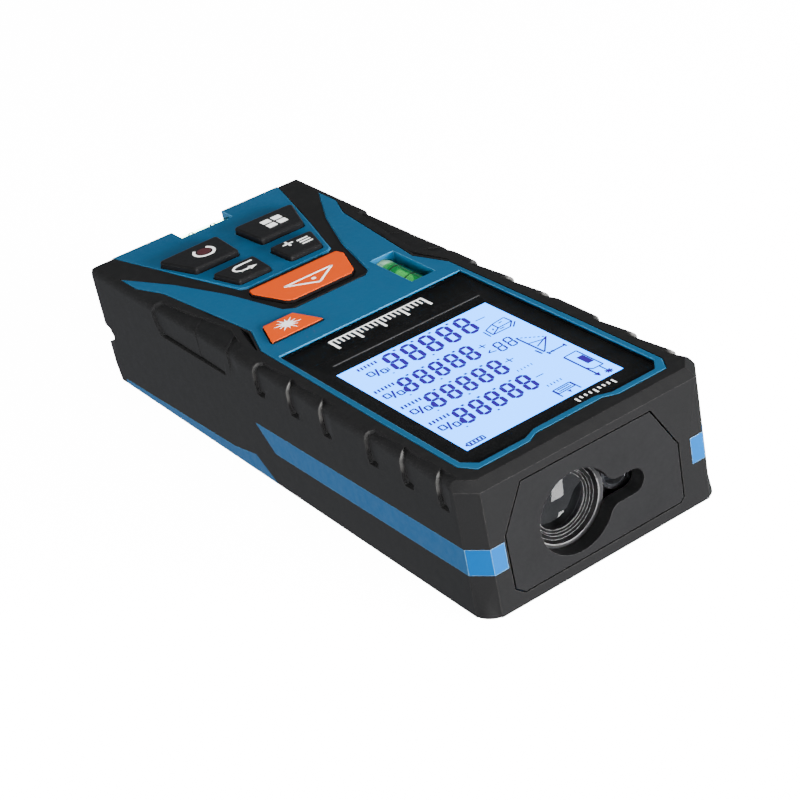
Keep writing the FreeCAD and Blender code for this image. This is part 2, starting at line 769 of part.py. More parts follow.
def coil(x, y, toward_laser):
    """A short coil spring that presses on the flat end of a cell."""
    wire_r = 0.3
    height = cell_gap() - 0.3 - 2 * wire_r - 0.06
    helix = Part.makeHelix(height / 2.5, height, 2.6)
    start = Vector(2.6, 0, 0)
    profile = Part.Wire(Part.makeCircle(wire_r, start, Vector(0, 1, 0)))
    spring = Part.Wire(helix.Edges).makePipeShell([profile], True, True)
    turn = -90 if toward_laser else 90
    spring.rotate(Vector(0, 0, 0), Vector(1, 0, 0), turn)
    shift = wire_r + 0.03 if toward_laser else -wire_r - 0.03
    spring.translate(Vector(x, y + shift, CELL_Z))
    return spring


def battery_springs():
    x = CELL_R + 0.2
    return [coil(-x, BAY_Y0 + 0.3, True), coil(x, BAY_Y1 - 0.3, False)]


def tripod_insert():
    sleeve = rod_z(TRIPOD_INSERT_R, 0, TRIPOD_Y, 0, TRIPOD_DEPTH)
    return sleeve.cut(rod_z(TRIPOD_HOLE_R, 0, TRIPOD_Y, -1, TRIPOD_DEPTH - 0.8))


# ---------------------------------------------------------------- fasteners

def countersunk_screw(x, y, head_z, length):
    """A screw driven upwards from the back, with a cross recess in its head."""
    head = Part.makeCone(1.9, 1.0, 1.0, Vector(x, y, head_z))
    shank = rod_z(1.0, x, y, head_z + 0.9, head_z + length)
    return fuse_all([head, shank])


def cross_recess(x, y, z):
    return [box(x - 1.0, x + 1.0, y - 0.2, y + 0.2, z - 1, z + 0.5),
            box(x - 0.2, x + 0.2, y - 1.0, y + 1.0, z - 1, z + 0.5)]


def case_screw_solids():
    places = [(x, y) for x in (-CASE_SCREW_X, CASE_SCREW_X) for y in CASE_SCREW_Y]
    return [countersunk_screw(x, y, CASE_SCREW_Z, CASE_SCREW_LEN) for x, y in places]


def case_screw_access():
    return [rod_z(2.0, x, y, -1, CASE_SCREW_Z) for x in (-CASE_SCREW_X, CASE_SCREW_X) for y in CASE_SCREW_Y]


def case_screws():
    screws = []
    for x in (-CASE_SCREW_X, CASE_SCREW_X):
        for y in CASE_SCREW_Y:
            screw = countersunk_screw(x, y, CASE_SCREW_Z, CASE_SCREW_LEN)
            screws.append(cut_all(screw, cross_recess(x, y, CASE_SCREW_Z)))
    return screws


def board_screw(x, y):
    bottom = BOARD_TOP_Z - BOARD_T
    head = rod_z(1.5, x, y, bottom - 0.8, bottom)
    return fuse_all([head, rod_z(0.8, x, y, bottom - 0.4, BOARD_TOP_Z + 1.8)])


def board_screw_solids():
    return [board_screw(x, y) for x in (-BOARD_SCREW_X, BOARD_SCREW_X) for y in BOARD_SCREW_Y]


# ---------------------------------------------------------------- display

def display_window():
    return prism(glass_corners(), GLASS_TOP_Z - GLASS_T, GLASS_TOP_Z)


def window_mask():
    """The dark printed border under the window."""
    z = GLASS_TOP_Z - GLASS_T
    border = prism(glass_corners(), z - MASK_T, z)
    return border.cut(box(-VIEW_HALF, VIEW_HALF, VIEW_Y0, VIEW_Y1, z - 1, z + 1))


def lcd_panel():
    lower = box(-LCD_HALF, LCD_HALF, LCD_Y0, LCD_Y1, LCD_TOP_Z - LCD_T, LCD_TOP_Z - LCD_T / 2)
    upper = box(-LCD_HALF, LCD_HALF, LCD_Y0 + 2.0, LCD_Y1, LCD_TOP_Z - LCD_T / 2, LCD_TOP_Z)
    return fuse_all([lower, upper])


def backlight():
    top = LCD_TOP_Z - LCD_T
    return box(-LCD_HALF, LCD_HALF, LCD_Y0, LCD_Y1, top - BACKLIGHT_T, top)


def lcd_holder():
    grow = HOLDER_GAP + HOLDER_WALL
    z1 = PLATE_UNDER_Z - 0.1
    outer = box(-LCD_HALF - grow, LCD_HALF + grow, LCD_Y0 - grow, LCD_Y1 + grow, BOARD_TOP_Z, z1)
    inner = box(-LCD_HALF - HOLDER_GAP, LCD_HALF + HOLDER_GAP, LCD_Y0 - HOLDER_GAP, LCD_Y1 + HOLDER_GAP,
                BOARD_TOP_Z - 1, z1 + 1)
    return outer.cut(inner)


# ---------------------------------------------------------------- electronics

def main_board():
    bottom = BOARD_TOP_Z - BOARD_T
    board = box(-BOARD_HALF, BOARD_HALF, BOARD_Y0, BOARD_Y1, bottom, BOARD_TOP_Z)
    vial_cut = box(-BOARD_HALF - 1, -9.6, -18.2, -0.2, bottom - 1, BOARD_TOP_Z + 1)
    return cut_all(board, [vial_cut] + board_screw_solids())


def processor_chip():
    z = BOARD_TOP_Z - BOARD_T
    return box(-5.0, 5.0, -42.0, -32.0, z - 1.4, z)


def board_components():
    """Smaller parts soldered under the main board."""
    z = BOARD_TOP_Z - BOARD_T
    places = [(-12.0, -44.0, 4.0, 3.0, 1.2), (-13.0, -36.0, 3.0, 5.0, 1.6), (10.0, -46.0, 6.0, 4.0, 1.5),
              (12.0, -34.0, 3.2, 2.5, 1.0), (12.0, -28.0, 3.2, 2.5, 1.0), (4.0, -24.0, 5.0, 4.0, 1.2),
              (-4.0, -22.0, 2.0, 1.2, 0.8), (-4.0, -18.0, 2.0, 1.2, 0.8), (12.0, -12.0, 5.0, 5.0, 1.6)]
    return [box(x - w / 2, x + w / 2, y - d / 2, y + d / 2, z - h, z) for x, y, w, d, h in places]


def buzzer():
    z = BOARD_TOP_Z - BOARD_T
    can = rod_z(4.5, 8.0, -2.0, z - 3.5, z)
    return can.cut(rod_z(0.8, 8.0, -2.0, z - 4, z - 3))


def flex_cable():
    """The ribbon that links the optics board to the main board."""
    thickness = 0.15
    board_z = BOARD_TOP_Z - BOARD_T
    inner_y = OPTICS_BOARD_Y - thickness
    points = [(OPTICS_BOARD_Y, 8.0), (OPTICS_BOARD_Y, 17.0), (OPTICS_BOARD_Y - 2.0, board_z),
              (OPTICS_BOARD_Y - 8.0, board_z), (OPTICS_BOARD_Y - 8.0, board_z - thickness),
              (inner_y - 1.9, board_z - thickness), (inner_y, 16.95), (inner_y, 8.0)]
    return prism_x(points, -4.0, 4.0)


# ---------------------------------------------------------------- optics

def lens_barrel():
    """The black tube that carries the receiver lens, stepped in behind it."""
    tube = rod_y(BARREL_R, LENS_X, BARREL_Y0, BARREL_Y1, LENS_Z)
    seat = rod_y(LENS_R + 0.05, LENS_X, LENS_Y - LENS_EDGE_T / 2, BARREL_Y1 + 1, LENS_Z)
    cone = Part.makeCone(3.2, LENS_R - 0.6, LENS_Y - LENS_EDGE_T / 2 - BARREL_Y0,
                         Vector(LENS_X, BARREL_Y0, LENS_Z), Vector(0, 1, 0))
    return cut_all(tube, [seat, cone, receiver_lens()])


def lens_solid(x, y, z, radius, edge, bulge):
    """A biconvex lens along Y."""
    sphere_r = (radius ** 2 + bulge ** 2) / (2 * bulge)
    disc = rod_y(radius, x, y - edge / 2 - bulge, y + edge / 2 + bulge, z)
    front = Part.makeSphere(sphere_r, Vector(x, y + edge / 2 + bulge - sphere_r, z))
    back = Part.makeSphere(sphere_r, Vector(x, y - edge / 2 - bulge + sphere_r, z))
    return disc.common(front).common(back)


def receiver_lens():
    return lens_solid(LENS_X, LENS_Y, LENS_Z, LENS_R, LENS_EDGE_T, LENS_BULGE)


def lens_retainer():
    y0 = LENS_Y + LENS_EDGE_T / 2
    ring = rod_y(LENS_R + 0.05, LENS_X, y0, BARREL_Y1, LENS_Z)
    bore = Part.makeCone(LENS_R - 0.9, LENS_R - 0.2, BARREL_Y1 - y0,
                         Vector(LENS_X, y0, LENS_Z), Vector(0, 1, 0))
    return cut_all(ring, [bore, receiver_lens()])


def laser_module():
    tube = rod_y(MODULE_R, EMITTER_X, MODULE_Y0, MODULE_Y1, EMITTER_Z)
    bore = rod_y(1.6, EMITTER_X, MODULE_Y0 - 1, MODULE_Y1 + 1, EMITTER_Z)
    lens_seat = rod_y(2.3, EMITTER_X, MODULE_Y1 - 2.0, MODULE_Y1 + 1, EMITTER_Z)
    diode_seat = rod_y(2.4, EMITTER_X, MODULE_Y0 - 1, MODULE_Y0 + 2.0, EMITTER_Z)
    return cut_all(tube, [bore, lens_seat, diode_seat])


def collimator_lens():
    return lens_solid(EMITTER_X, MODULE_Y1 - 1.2, EMITTER_Z, 2.25, 0.7, 0.4)


def laser_diode():
    flange = rod_y(2.35, EMITTER_X, MODULE_Y0, MODULE_Y0 + 1.2, EMITTER_Z)
    can = rod_y(1.5, EMITTER_X, MODULE_Y0 + 1.0, MODULE_Y0 + 3.4, EMITTER_Z)
    pins = []
    for angle in (90, 210, 330):
        x = EMITTER_X + 0.9 * math.cos(math.radians(angle))
        z = EMITTER_Z + 0.9 * math.sin(math.radians(angle))
        pins.append(rod_y(0.2, x, OPTICS_BOARD_Y + 1.0, MODULE_Y0 + 0.2, z))
    return fuse_all([flange, can] + pins)


def photodiode():
    flange = rod_y(2.6, LENS_X, OPTICS_BOARD_Y + 1.0, OPTICS_BOARD_Y + 1.6, LENS_Z)
    return fuse_all([flange, rod_y(2.1, LENS_X, OPTICS_BOARD_Y + 1.4, OPTICS_BOARD_Y + 4.2, LENS_Z)])


def optics_board():
    return box(-12.0, 13.0, OPTICS_BOARD_Y, OPTICS_BOARD_Y + 1.0, 4.0, 18.6)


def optical_bench():
    """The cast frame that holds the lens barrel and the laser module in line."""
    plates = [box(*BENCH_X, y0, y1, *BENCH_Z) for y0, y1 in BENCH_PLATES_Y]
    rail_y0 = BENCH_PLATES_Y[1][1]
    rail_y1 = BENCH_PLATES_Y[0][0]
    rails = [box(BENCH_X[0], BENCH_RAIL_X1, rail_y0, rail_y1, z0, z1) for z0, z1 in BENCH_RAILS_Z]
    bench = fuse_all(plates + rails)
    bores = [rod_y(BARREL_R, LENS_X, 30, 61, LENS_Z), rod_y(MODULE_R, EMITTER_X, 30, 61, EMITTER_Z)]
    return cut_all(bench, bores)


def laser_window():
    """The small clear disc that closes the beam's opening."""
    return rod_y(SLOT_R + 0.5, EMITTER_X, MODULE_Y1, MODULE_Y1 + 0.8, EMITTER_Z)


# ---------------------------------------------------------------- the assembly

def build():
    os.makedirs("parts", exist_ok=True)
    body = envelope()
    trims = side_trims(body)
    accents = corner_accents(body)
    save("front_shell", front_shell())
    save("grip_jacket", grip_jacket(body, trims + accents))
    save("side_trims", Part.makeCompound(trims))
    save("corner_accents", Part.makeCompound(accents))
    save("front_panel", front_panel())
    save("housing_gasket", gasket())
    save("rear_shell", cut_all(rear_shell(), case_screw_access()))
    save("battery_cover", battery_cover())
    save("battery_pad", battery_pad())
    save("battery_a", cell(-CELL_R - 0.2, True))
    save("battery_b", cell(CELL_R + 0.2, False))
    save("battery_contacts", Part.makeCompound(battery_contacts()))
    save("battery_springs", Part.makeCompound(battery_springs()))
    save("tripod_insert", tripod_insert())
    save("strap_bar", strap_bar())
    save("case_screws", Part.makeCompound(case_screws()))
    save("board_screws", Part.makeCompound(board_screw_solids()))
    for name, (corners, rise) in KEYS.items():
        save(name, key_cap(corners, rise))
    save("key_mat", key_mat())
    save("dome_switches", dome_switches())
    for vial, pieces in (("side_vial", side_vial()), ("end_vial", end_vial())):
        for piece, shape in pieces.items():
            save(vial + "_" + piece, shape)
    save("display_window", display_window())
    save("window_mask", window_mask())
    save("lcd_panel", lcd_panel())
    save("backlight", backlight())
    save("lcd_holder", lcd_holder())
    save("main_board", main_board())
    save("processor_chip", processor_chip())
    save("board_components", Part.makeCompound(board_components()))
    save("buzzer", buzzer())
    save("flex_cable", flex_cable())
    save("lens_barrel", lens_barrel())
    save("receiver_lens", receiver_lens())
    save("lens_retainer", lens_retainer())
    save("laser_module", laser_module())
    save("collimator_lens", collimator_lens())
    save("laser_diode", laser_diode())
    save("photodiode", photodiode())
    save("optics_board", optics_board())
    save("optical_bench", optical_bench())
    save("laser_window", laser_window())


build()
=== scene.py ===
import math

import bmesh
import bpy
import numpy as np
from mathutils import Matrix, Vector


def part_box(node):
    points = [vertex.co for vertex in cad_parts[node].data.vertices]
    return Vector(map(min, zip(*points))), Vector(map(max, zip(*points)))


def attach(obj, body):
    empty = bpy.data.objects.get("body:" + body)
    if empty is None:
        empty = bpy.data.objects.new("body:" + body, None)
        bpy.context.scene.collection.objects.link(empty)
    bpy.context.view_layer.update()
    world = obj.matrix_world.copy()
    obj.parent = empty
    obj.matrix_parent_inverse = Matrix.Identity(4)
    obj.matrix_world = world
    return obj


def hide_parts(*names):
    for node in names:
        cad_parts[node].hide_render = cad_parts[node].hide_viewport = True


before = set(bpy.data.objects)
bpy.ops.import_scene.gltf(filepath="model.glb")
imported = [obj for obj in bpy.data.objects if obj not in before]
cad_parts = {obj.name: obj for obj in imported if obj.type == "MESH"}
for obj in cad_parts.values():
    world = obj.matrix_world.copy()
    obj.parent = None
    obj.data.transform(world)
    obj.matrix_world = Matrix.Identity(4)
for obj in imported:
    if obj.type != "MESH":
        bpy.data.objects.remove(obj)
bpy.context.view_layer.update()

# Looks of a hand-held laser distance meter lying on its back. Shapes are worked out in millimetres and stored
# in metres. +Y points to the laser end, +Z out of the display, +X to the user's right.

MM = 0.001


def span(node):
    """Lowest and highest corner of a CAD node, in millimetres."""
    low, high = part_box(node)
    return low / MM, high / MM


jacket_high = span("grip_jacket")[1]
END_Y = jacket_high.y
TOP_Z = jacket_high.z
GLASS_Z = span("display_window")[1].z
LCD_Z = span("lcd_panel")[1].z
HALF_KEYPAD = 25.2
HALF_LASER = 24.8
CORNER_CUT_Y = 3.2
PRINT_T = 0.02
PRINT_GAP = 0.004


# ---------------------------------------------------------------- shader helpers

def add(tree, kind, inputs=None, **settings):
    """Adds a shader node. Inputs are sockets to link or plain values."""
    node = tree.nodes.new("ShaderNode" + kind)
    for key, value in settings.items():
        setattr(node, key, value)
    for key, value in (inputs or {}).items():
        socket = node.inputs[key]
        if isinstance(value, bpy.types.NodeSocket):
            tree.links.new(value, socket)
        else:
            socket.default_value = value
    return node


def rgba(colour):
    return (colour[0], colour[1], colour[2], 1.0)


def colour_mix(tree, factor, first, second):
    node = add(tree, "Mix", data_type="RGBA")
    for index, value in ((0, factor), (6, first), (7, second)):
        if isinstance(value, bpy.types.NodeSocket):
            tree.links.new(value, node.inputs[index])
        else:
            node.inputs[index].default_value = rgba(value) if index else value
    return node.outputs[2]


def remap(tree, value, from_low, from_high, to_low, to_high):
    node = add(tree, "MapRange", {"Value": value, "From Min": from_low, "From Max": from_high,
                                            "To Min": to_low, "To Max": to_high})
    return node.outputs["Result"]


def arithmetic(tree, operation, first, second=0.0):
    return add(tree, "Math", {0: first, 1: second}, operation=operation).outputs[0]


def millimetres(tree, stretch=(1.0, 1.0, 1.0)):
    """Object coordinates in millimetres, optionally stretched for brushed or streaky textures."""
    place = add(tree, "TexCoord").outputs["Object"]
    scale = tuple(s / MM for s in stretch)
    return add(tree, "VectorMath", {0: place, 1: scale}, operation="MULTIPLY").outputs[0]


def noise(tree, place, size, detail=3.0, roughness=0.55):
    """Noise whose blotches are about size millimetres across."""
    node = add(tree, "TexNoise", {"Vector": place, "Scale": 1.0 / size, "Detail": detail,
                                            "Roughness": roughness})
    return node.outputs["Fac"]


def cells(tree, place, size):
    """Distance to the nearest cell centre; gives pebbled grain."""
    node = add(tree, "TexVoronoi", {"Vector": place, "Scale": 1.0 / size})
    return node.outputs["Distance"]


def new_material(name="look"):
    """A material without shader nodes yet, and its node tree."""
    material = bpy.data.materials.new(name)
    material.use_nodes = True
    material.node_tree.nodes.clear()
    return material, material.node_tree


def output(tree, shader):
    add(tree, "OutputMaterial", {"Surface": shader})


def face_normal(tree):
    return add(tree, "NewGeometry").outputs["Normal"]


def height_of(tree, vector):
    return add(tree, "SeparateXYZ", {0: vector}).outputs["Z"]


def edge_mask(tree, radius):
    """Near 1 on convex and concave edges, 0 on flat ground, and the rounded normal there."""
    bevel = add(tree, "Bevel", {"Radius": radius * MM}, samples=6).outputs[0]
    flat = face_normal(tree)
    same = add(tree, "VectorMath", {0: bevel, 1: flat}, operation="DOT_PRODUCT").outputs["Value"]
    return remap(tree, same, 0.995, 0.8, 0.0, 1.0), bevel


def surface(colour, rough, second=None, blotch=9.0, grain=0.35, depth=0.012, pebble=False, metallic=0.0,
            edge_colour=None, edge_amount=0.0, edge_radius=0.18, coat=0.0, specular=0.5, dust=0.0,
            streak=None, rough_vary=0.08, wave=0.35, edge_where=None, sides=None, lips=None):
    """An opaque moulded, painted or machined surface.

    colour and second are mixed in blotches; grain and depth set the fine relief; wave is the slow unevenness
    of a moulding; edges are rounded, and edge_colour paints a highlight on them, only inside edge_where if it
    is given; dust settles on what faces up; streak stretches the grain along one axis, as brushing does;
    sides is the colour of what does not face up, painted shade where a look uses it; lips is the colour of
    the painted highlight on the groove lips that the mesh marks with its "lip" values."""
    material, tree = new_material()
    place = millimetres(tree)
    grain_place = millimetres(tree, streak) if streak else place
    second = second or tuple(c * 0.82 for c in colour)
    broad = noise(tree, place, blotch, 4.0)
    fine = cells(tree, grain_place, grain) if pebble else noise(tree, grain_place, grain, 2.0)
    scuff = noise(tree, place, blotch * 0.23, 6.0, 0.7)
    base = colour_mix(tree, remap(tree, broad, 0.2, 0.8, 0.0, 1.0), colour, second)
    base = colour_mix(tree, remap(tree, fine, 0.2, 0.9, 0.0, 0.18), base, tuple(c * 0.6 for c in colour))
    edges, bevel = edge_mask(tree, edge_radius)
    if edge_where:
        here = edge_where(tree)
        edges = arithmetic(tree, "MULTIPLY", edges, here)
        flat = face_normal(tree)
        bevel = add(tree, "Mix", {0: here, 4: flat, 5: bevel}, data_type="VECTOR").outputs[1]
    # Painted highlight: edge_colour lightens the rounded edges, unevenly along them.
    if edge_colour:
        painted_edge_highlight = arithmetic(tree, "MULTIPLY", edges, remap(tree, scuff, 0.3, 0.6, 0.6, 1.0))
        base = colour_mix(tree, arithmetic(tree, "MULTIPLY", painted_edge_highlight, edge_amount), base, edge_colour)
    roughness = remap(tree, scuff, 0.3, 0.7, rough - rough_vary, rough + rough_vary)
    # sides paints what does not face up in one colour; key_orange uses it as painted shade.
    if sides:
        facing = height_of(tree, face_normal(tree))
        base = colour_mix(tree, remap(tree, facing, 0.6, 0.75, 0.0, 1.0), sides, base)
    # Painted highlight on the groove lips, from the mesh's "lip" values.
    if lips:
        painted_lip_highlight = add(tree, "Attribute", attribute_name="lip").outputs["Fac"]
        base = colour_mix(tree, painted_lip_highlight, base, lips)
    if dust:
        level = remap(tree, height_of(tree, bevel), 0.6, 1.0, 0.0, dust)
        settled = arithmetic(tree, "MULTIPLY", level, remap(tree, scuff, 0.45, 0.75, 0.0, 1.0))
        base = colour_mix(tree, settled, base, (0.3, 0.29, 0.27))
    bump = add(tree, "Bump", {"Height": fine, "Normal": bevel, "Distance": depth * MM,
                                        "Strength": 1.0})
    waves = add(tree, "Bump", {"Height": broad, "Normal": bump.outputs[0], "Distance": 0.03 * MM,
                                         "Strength": wave})
    shader = add(tree, "BsdfPrincipled", {
        "Base Color": base, "Roughness": roughness, "Metallic": metallic, "Normal": waves.outputs[0],
        "Coat Weight": coat, "Coat Roughness": 0.12, "Specular IOR Level": specular})
    output(tree, shader.outputs[0])
    return material


def clear(tint, gloss_rough=0.02, haze=0.02, smudge=0.0, ripple=0.3, film_colour=(0.75, 0.78, 0.8),
          shine=1.0, black_sides=False):
    """A clear sheet, lens or tube: mostly see-through, with Fresnel reflections, faint haze and smudges.

    shine below 1 stands for an anti-reflection coat; black_sides paints the steep side faces black, as
    painted shade along the rim."""
    material, tree = new_material()
    place = millimetres(tree)
    smear = noise(tree, place, 7.0, 5.0, 0.65)
    fine = noise(tree, place, 0.6, 2.0)
    bump = add(tree, "Bump", {"Height": fine, "Distance": 0.001 * MM, "Strength": ripple})
    see = add(tree, "BsdfTransparent", {"Color": rgba(tint)})
    rough = remap(tree, smear, 0.4, 0.7, gloss_rough, gloss_rough * 2 + ripple * 0.2)
    gloss = add(tree, "BsdfGlossy", {"Color": (1, 1, 1, 1), "Roughness": rough,
                                               "Normal": bump.outputs[0]})
    film = add(tree, "BsdfDiffuse", {"Color": rgba(film_colour)})
    amount = remap(tree, smear, 0.45, 0.75, haze, haze + smudge)
    base = add(tree, "MixShader", {0: amount, 1: see.outputs[0], 2: film.outputs[0]})
    fresnel = add(tree, "Fresnel", {"IOR": 1.45}).outputs[0]
    back = add(tree, "NewGeometry").outputs["Backfacing"]
    mirror = arithmetic(tree, "MULTIPLY", fresnel, arithmetic(tree, "SUBTRACT", 1.0, back))
    mirror = arithmetic(tree, "MULTIPLY", mirror, shine)
    shader = add(tree, "MixShader", {0: mirror, 1: base.outputs[0], 2: gloss.outputs[0]})
    # Painted shade: steep side faces turn plain black.
    if black_sides:
        facing = arithmetic(tree, "ABSOLUTE", height_of(tree, face_normal(tree)))
        side = arithmetic(tree, "LESS_THAN", facing, 0.5)
        painted_shade = add(tree, "BsdfDiffuse", {"Color": rgba((0.002, 0.002, 0.002))})
        shader = add(tree, "MixShader", {0: side, 1: shader.outputs[0], 2: painted_shade.outputs[0]})
    output(tree, shader.outputs[0])
    return material


# ---------------------------------------------------------------- materials, one function for each slot

# In these looks edge_colour is a painted highlight on rounded edges.
def shell_blue():
    return surface((0.002, 0.053, 0.118), 0.46, second=(0.002, 0.049, 0.109), grain=0.16, depth=0.006,
                   edge_colour=(0.09, 0.25, 0.37), edge_amount=0.9, edge_radius=0.14, dust=0.01,
                   specular=0.15, wave=0.15)


def away_from_pads(tree):
    """0 where the grip pads meet the rest of the jacket, so that their joints stay unseen, 1 elsewhere."""
    parts = add(tree, "SeparateXYZ", {0: millimetres(tree)}).outputs
    low = arithmetic(tree, "LESS_THAN", parts["Z"], PAD_Z - 0.3)
    laser_end = arithmetic(tree, "GREATER_THAN", parts["Y"], PAD_Y1 + 0.3)
    keypad_end = arithmetic(tree, "LESS_THAN", parts["Y"], PAD_Y0 - 0.3)
    middle = arithmetic(tree, "LESS_THAN", arithmetic(tree, "ABSOLUTE", parts["X"]), PAD_X_MIN - 0.3)
    here = arithmetic(tree, "MAXIMUM", low, laser_end)
    return arithmetic(tree, "MAXIMUM", here, arithmetic(tree, "MAXIMUM", keypad_end, middle))


def rubber(**extra):
    return surface((0.0046, 0.0046, 0.0047), 0.66, second=(0.0041, 0.0041, 0.0042), grain=0.2, depth=0.007,
                   pebble=True, dust=0.01, specular=0.13, rough_vary=0.03, wave=0.08,
                   edge_where=away_from_pads, **extra)


def jacket_rubber():
    return rubber(edge_colour=(0.05, 0.048, 0.046), edge_amount=0.5, edge_radius=0.14)


def pad_rubber():
    # lips is the colour of the painted highlight along each groove's lip.
    return rubber(lips=(0.062, 0.061, 0.059))


def trim_blue():
    return surface((0.004, 0.034, 0.087), 0.5, second=(0.004, 0.031, 0.08), grain=0.25, depth=0.006,
                   edge_colour=(0.05, 0.24, 0.4), edge_amount=0.5, specular=0.1, wave=0.1)


def accent_blue():
    return surface((0.0, 0.04, 0.138), 0.42, second=(0.0, 0.037, 0.127), grain=0.3, depth=0.004,
                   edge_colour=(0.14, 0.3, 0.42), edge_amount=0.9, specular=0.05, wave=0.1)


def panel_black():
    return surface((0.005, 0.005, 0.0052), 0.6, grain=0.14, depth=0.006, edge_colour=(0.05, 0.05, 0.05),
                   edge_amount=0.5, edge_radius=0.12, specular=0.14, wave=0.08)


def housing_black():
    return surface((0.012, 0.012, 0.013), 0.55, grain=0.3, depth=0.014, pebble=True,
                   edge_colour=(0.09, 0.09, 0.09), edge_amount=0.45, dust=0.04, specular=0.35)


def key_black():
    return surface((0.0035, 0.0035, 0.0037), 0.44, grain=0.12, depth=0.005,
                   edge_colour=(0.05, 0.05, 0.052), edge_amount=0.5, edge_radius=0.22, specular=0.16)


def key_orange():
    # sides paints the key's side walls near-black: painted shade of the gap round the key.
    return surface((0.51, 0.05, 0.0), 0.5, second=(0.48, 0.044, 0.0), grain=0.12, depth=0.004,
                   edge_colour=(0.9, 0.3, 0.06), edge_amount=0.5, edge_radius=0.1, specular=0.06, wave=0.1,
                   sides=(0.004, 0.003, 0.003))


def silicone_grey():
    return surface((0.1, 0.11, 0.12), 0.65, grain=0.5, depth=0.01)


def gasket_black():
    return surface((0.01, 0.01, 0.01), 0.75, grain=0.25, depth=0.02)


def mask_black():
    return surface((0.0022, 0.002, 0.0019), 0.35, grain=0.5, depth=0.001, specular=0.1)


def backlight_white():
    return surface((0.75, 0.78, 0.8), 0.35, grain=0.5, depth=0.002)


def holder_white():
    return surface((0.55, 0.55, 0.52), 0.5, grain=0.3, depth=0.006)


def circuit_green():
    return surface((0.006, 0.075, 0.03), 0.32, second=(0.01, 0.105, 0.045), blotch=3.0, grain=0.8,
                   depth=0.02, coat=0.3)


def chip_black():
    return surface((0.012, 0.012, 0.013), 0.5, grain=0.1, depth=0.004)


def dome_steel():
    return surface((0.62, 0.61, 0.58), 0.24, metallic=1.0, grain=0.4, depth=0.002)


def nickel_steel():
    return surface((0.6, 0.58, 0.53), 0.28, metallic=1.0, grain=0.2, depth=0.004,
                   streak=(1.0, 1.0, 0.1))


def spring_steel():
    return surface((0.48, 0.47, 0.45), 0.3, metallic=1.0, grain=0.15, depth=0.004)


def screw_steel():
    return surface((0.24, 0.24, 0.25), 0.36, metallic=1.0, grain=0.12, depth=0.006,
                   edge_colour=(0.6, 0.6, 0.6), edge_amount=0.7, edge_radius=0.08)


def strap_steel():
    return surface((0.45, 0.45, 0.46), 0.3, metallic=1.0, grain=0.15, depth=0.004,
                   streak=(1.0, 1.0, 0.1))


def brass():
    return surface((0.62, 0.42, 0.14), 0.3, metallic=1.0, grain=0.2, depth=0.006, blotch=4.0)


def cell_wrap():
    return surface((0.02, 0.1, 0.2), 0.25, grain=0.6, depth=0.003, coat=0.5)


def foam():
    return surface((0.03, 0.03, 0.03), 0.95, grain=0.25, depth=0.08, pebble=True)


def flex_amber():
    return surface((0.42, 0.17, 0.03), 0.3, grain=0.4, depth=0.003, coat=0.4)


def bench_alloy():
    return surface((0.33, 0.33, 0.34), 0.45, metallic=0.9, grain=0.3, depth=0.02)


def barrel_black():
    return surface((0.01, 0.01, 0.0105), 0.42, grain=0.12, depth=0.01, edge_colour=(0.2, 0.2, 0.2),
                   edge_amount=0.6, edge_radius=0.1)


def ring_black():
    # edge_colour paints bright highlight arcs on the step edges.
    return surface((0.0012, 0.0012, 0.0013), 0.4, grain=0.2, depth=0.001, edge_colour=(0.9, 0.9, 0.9),
                   edge_amount=1.0, edge_radius=0.045, rough_vary=0.03, specular=0.1, wave=0.03)


def diode_can():
    return surface((0.62, 0.52, 0.32), 0.25, metallic=1.0, grain=0.2, depth=0.003)


def vial_plug():
    return surface((0.88, 0.93, 0.88), 0.3, grain=0.3, depth=0.004)


def buzzer_black():
    return surface((0.015, 0.015, 0.016), 0.4, grain=0.3, depth=0.004)


def clear_glass():
    return clear((0.98, 0.985, 0.99), haze=0.001, smudge=0.003, shine=0.22,
                 black_sides=True)


def vial_clear():
    return clear((0.8, 1.0, 0.84), haze=0.0, smudge=0.02, ripple=0.1,
                 film_colour=(0.3, 0.6, 0.34))


def optic_glass():
    return clear((0.9, 0.91, 0.93), gloss_rough=0.004, haze=0.0, smudge=0.003, ripple=0.0)


def vial_liquid():
    """Bright green liquid with a faint painted glow all over, standing in for light passing through it."""
    material, tree = new_material()
    place = millimetres(tree)
    depth = noise(tree, place, 3.0, 2.0)
    base = colour_mix(tree, depth, (0.0, 0.2, 0.07), (0.0, 0.4, 0.15))
    # The emission is painted glow, not a lamp.
    body = add(tree, "BsdfPrincipled", {
        "Base Color": base, "Roughness": 0.05, "IOR": 1.36, "Specular IOR Level": 0.2,
        "Emission Color": (0.0, 0.6, 0.24, 1), "Emission Strength": 0.22})
    see = add(tree, "BsdfTransparent", {"Color": rgba((0.66, 1.0, 0.8))})
    shader = add(tree, "MixShader", {0: 0.36, 1: see.outputs[0], 2: body.outputs[0]})
    output(tree, shader.outputs[0])
    return material


def vial_air():
    """The bubble: a painted yellow-green glint that glows, with a painted dark rim where it turns away, as
    light shows a trapped bubble of air.
    """
    material, tree = new_material()
    place = millimetres(tree)
    facing = add(tree, "LayerWeight", {"Blend": 0.45}).outputs["Facing"]
    swirl = noise(tree, place, 1.2, 2.0)
    light = colour_mix(tree, swirl, (0.22, 0.62, 0.2), (0.62, 0.9, 0.48))
    # Painted shade: the rim darkens where the bubble turns away from the view.
    base = colour_mix(tree, remap(tree, facing, 0.45, 0.9, 0.0, 1.0), light, (0.0, 0.1, 0.02))
    # The emission paints the glint.
    shader = add(tree, "BsdfPrincipled", {
        "Base Color": base, "Roughness": 0.08, "Coat Weight": 0.6, "Emission Color": base,
        "Emission Strength": 0.7})
    output(tree, shader.outputs[0])
    return material


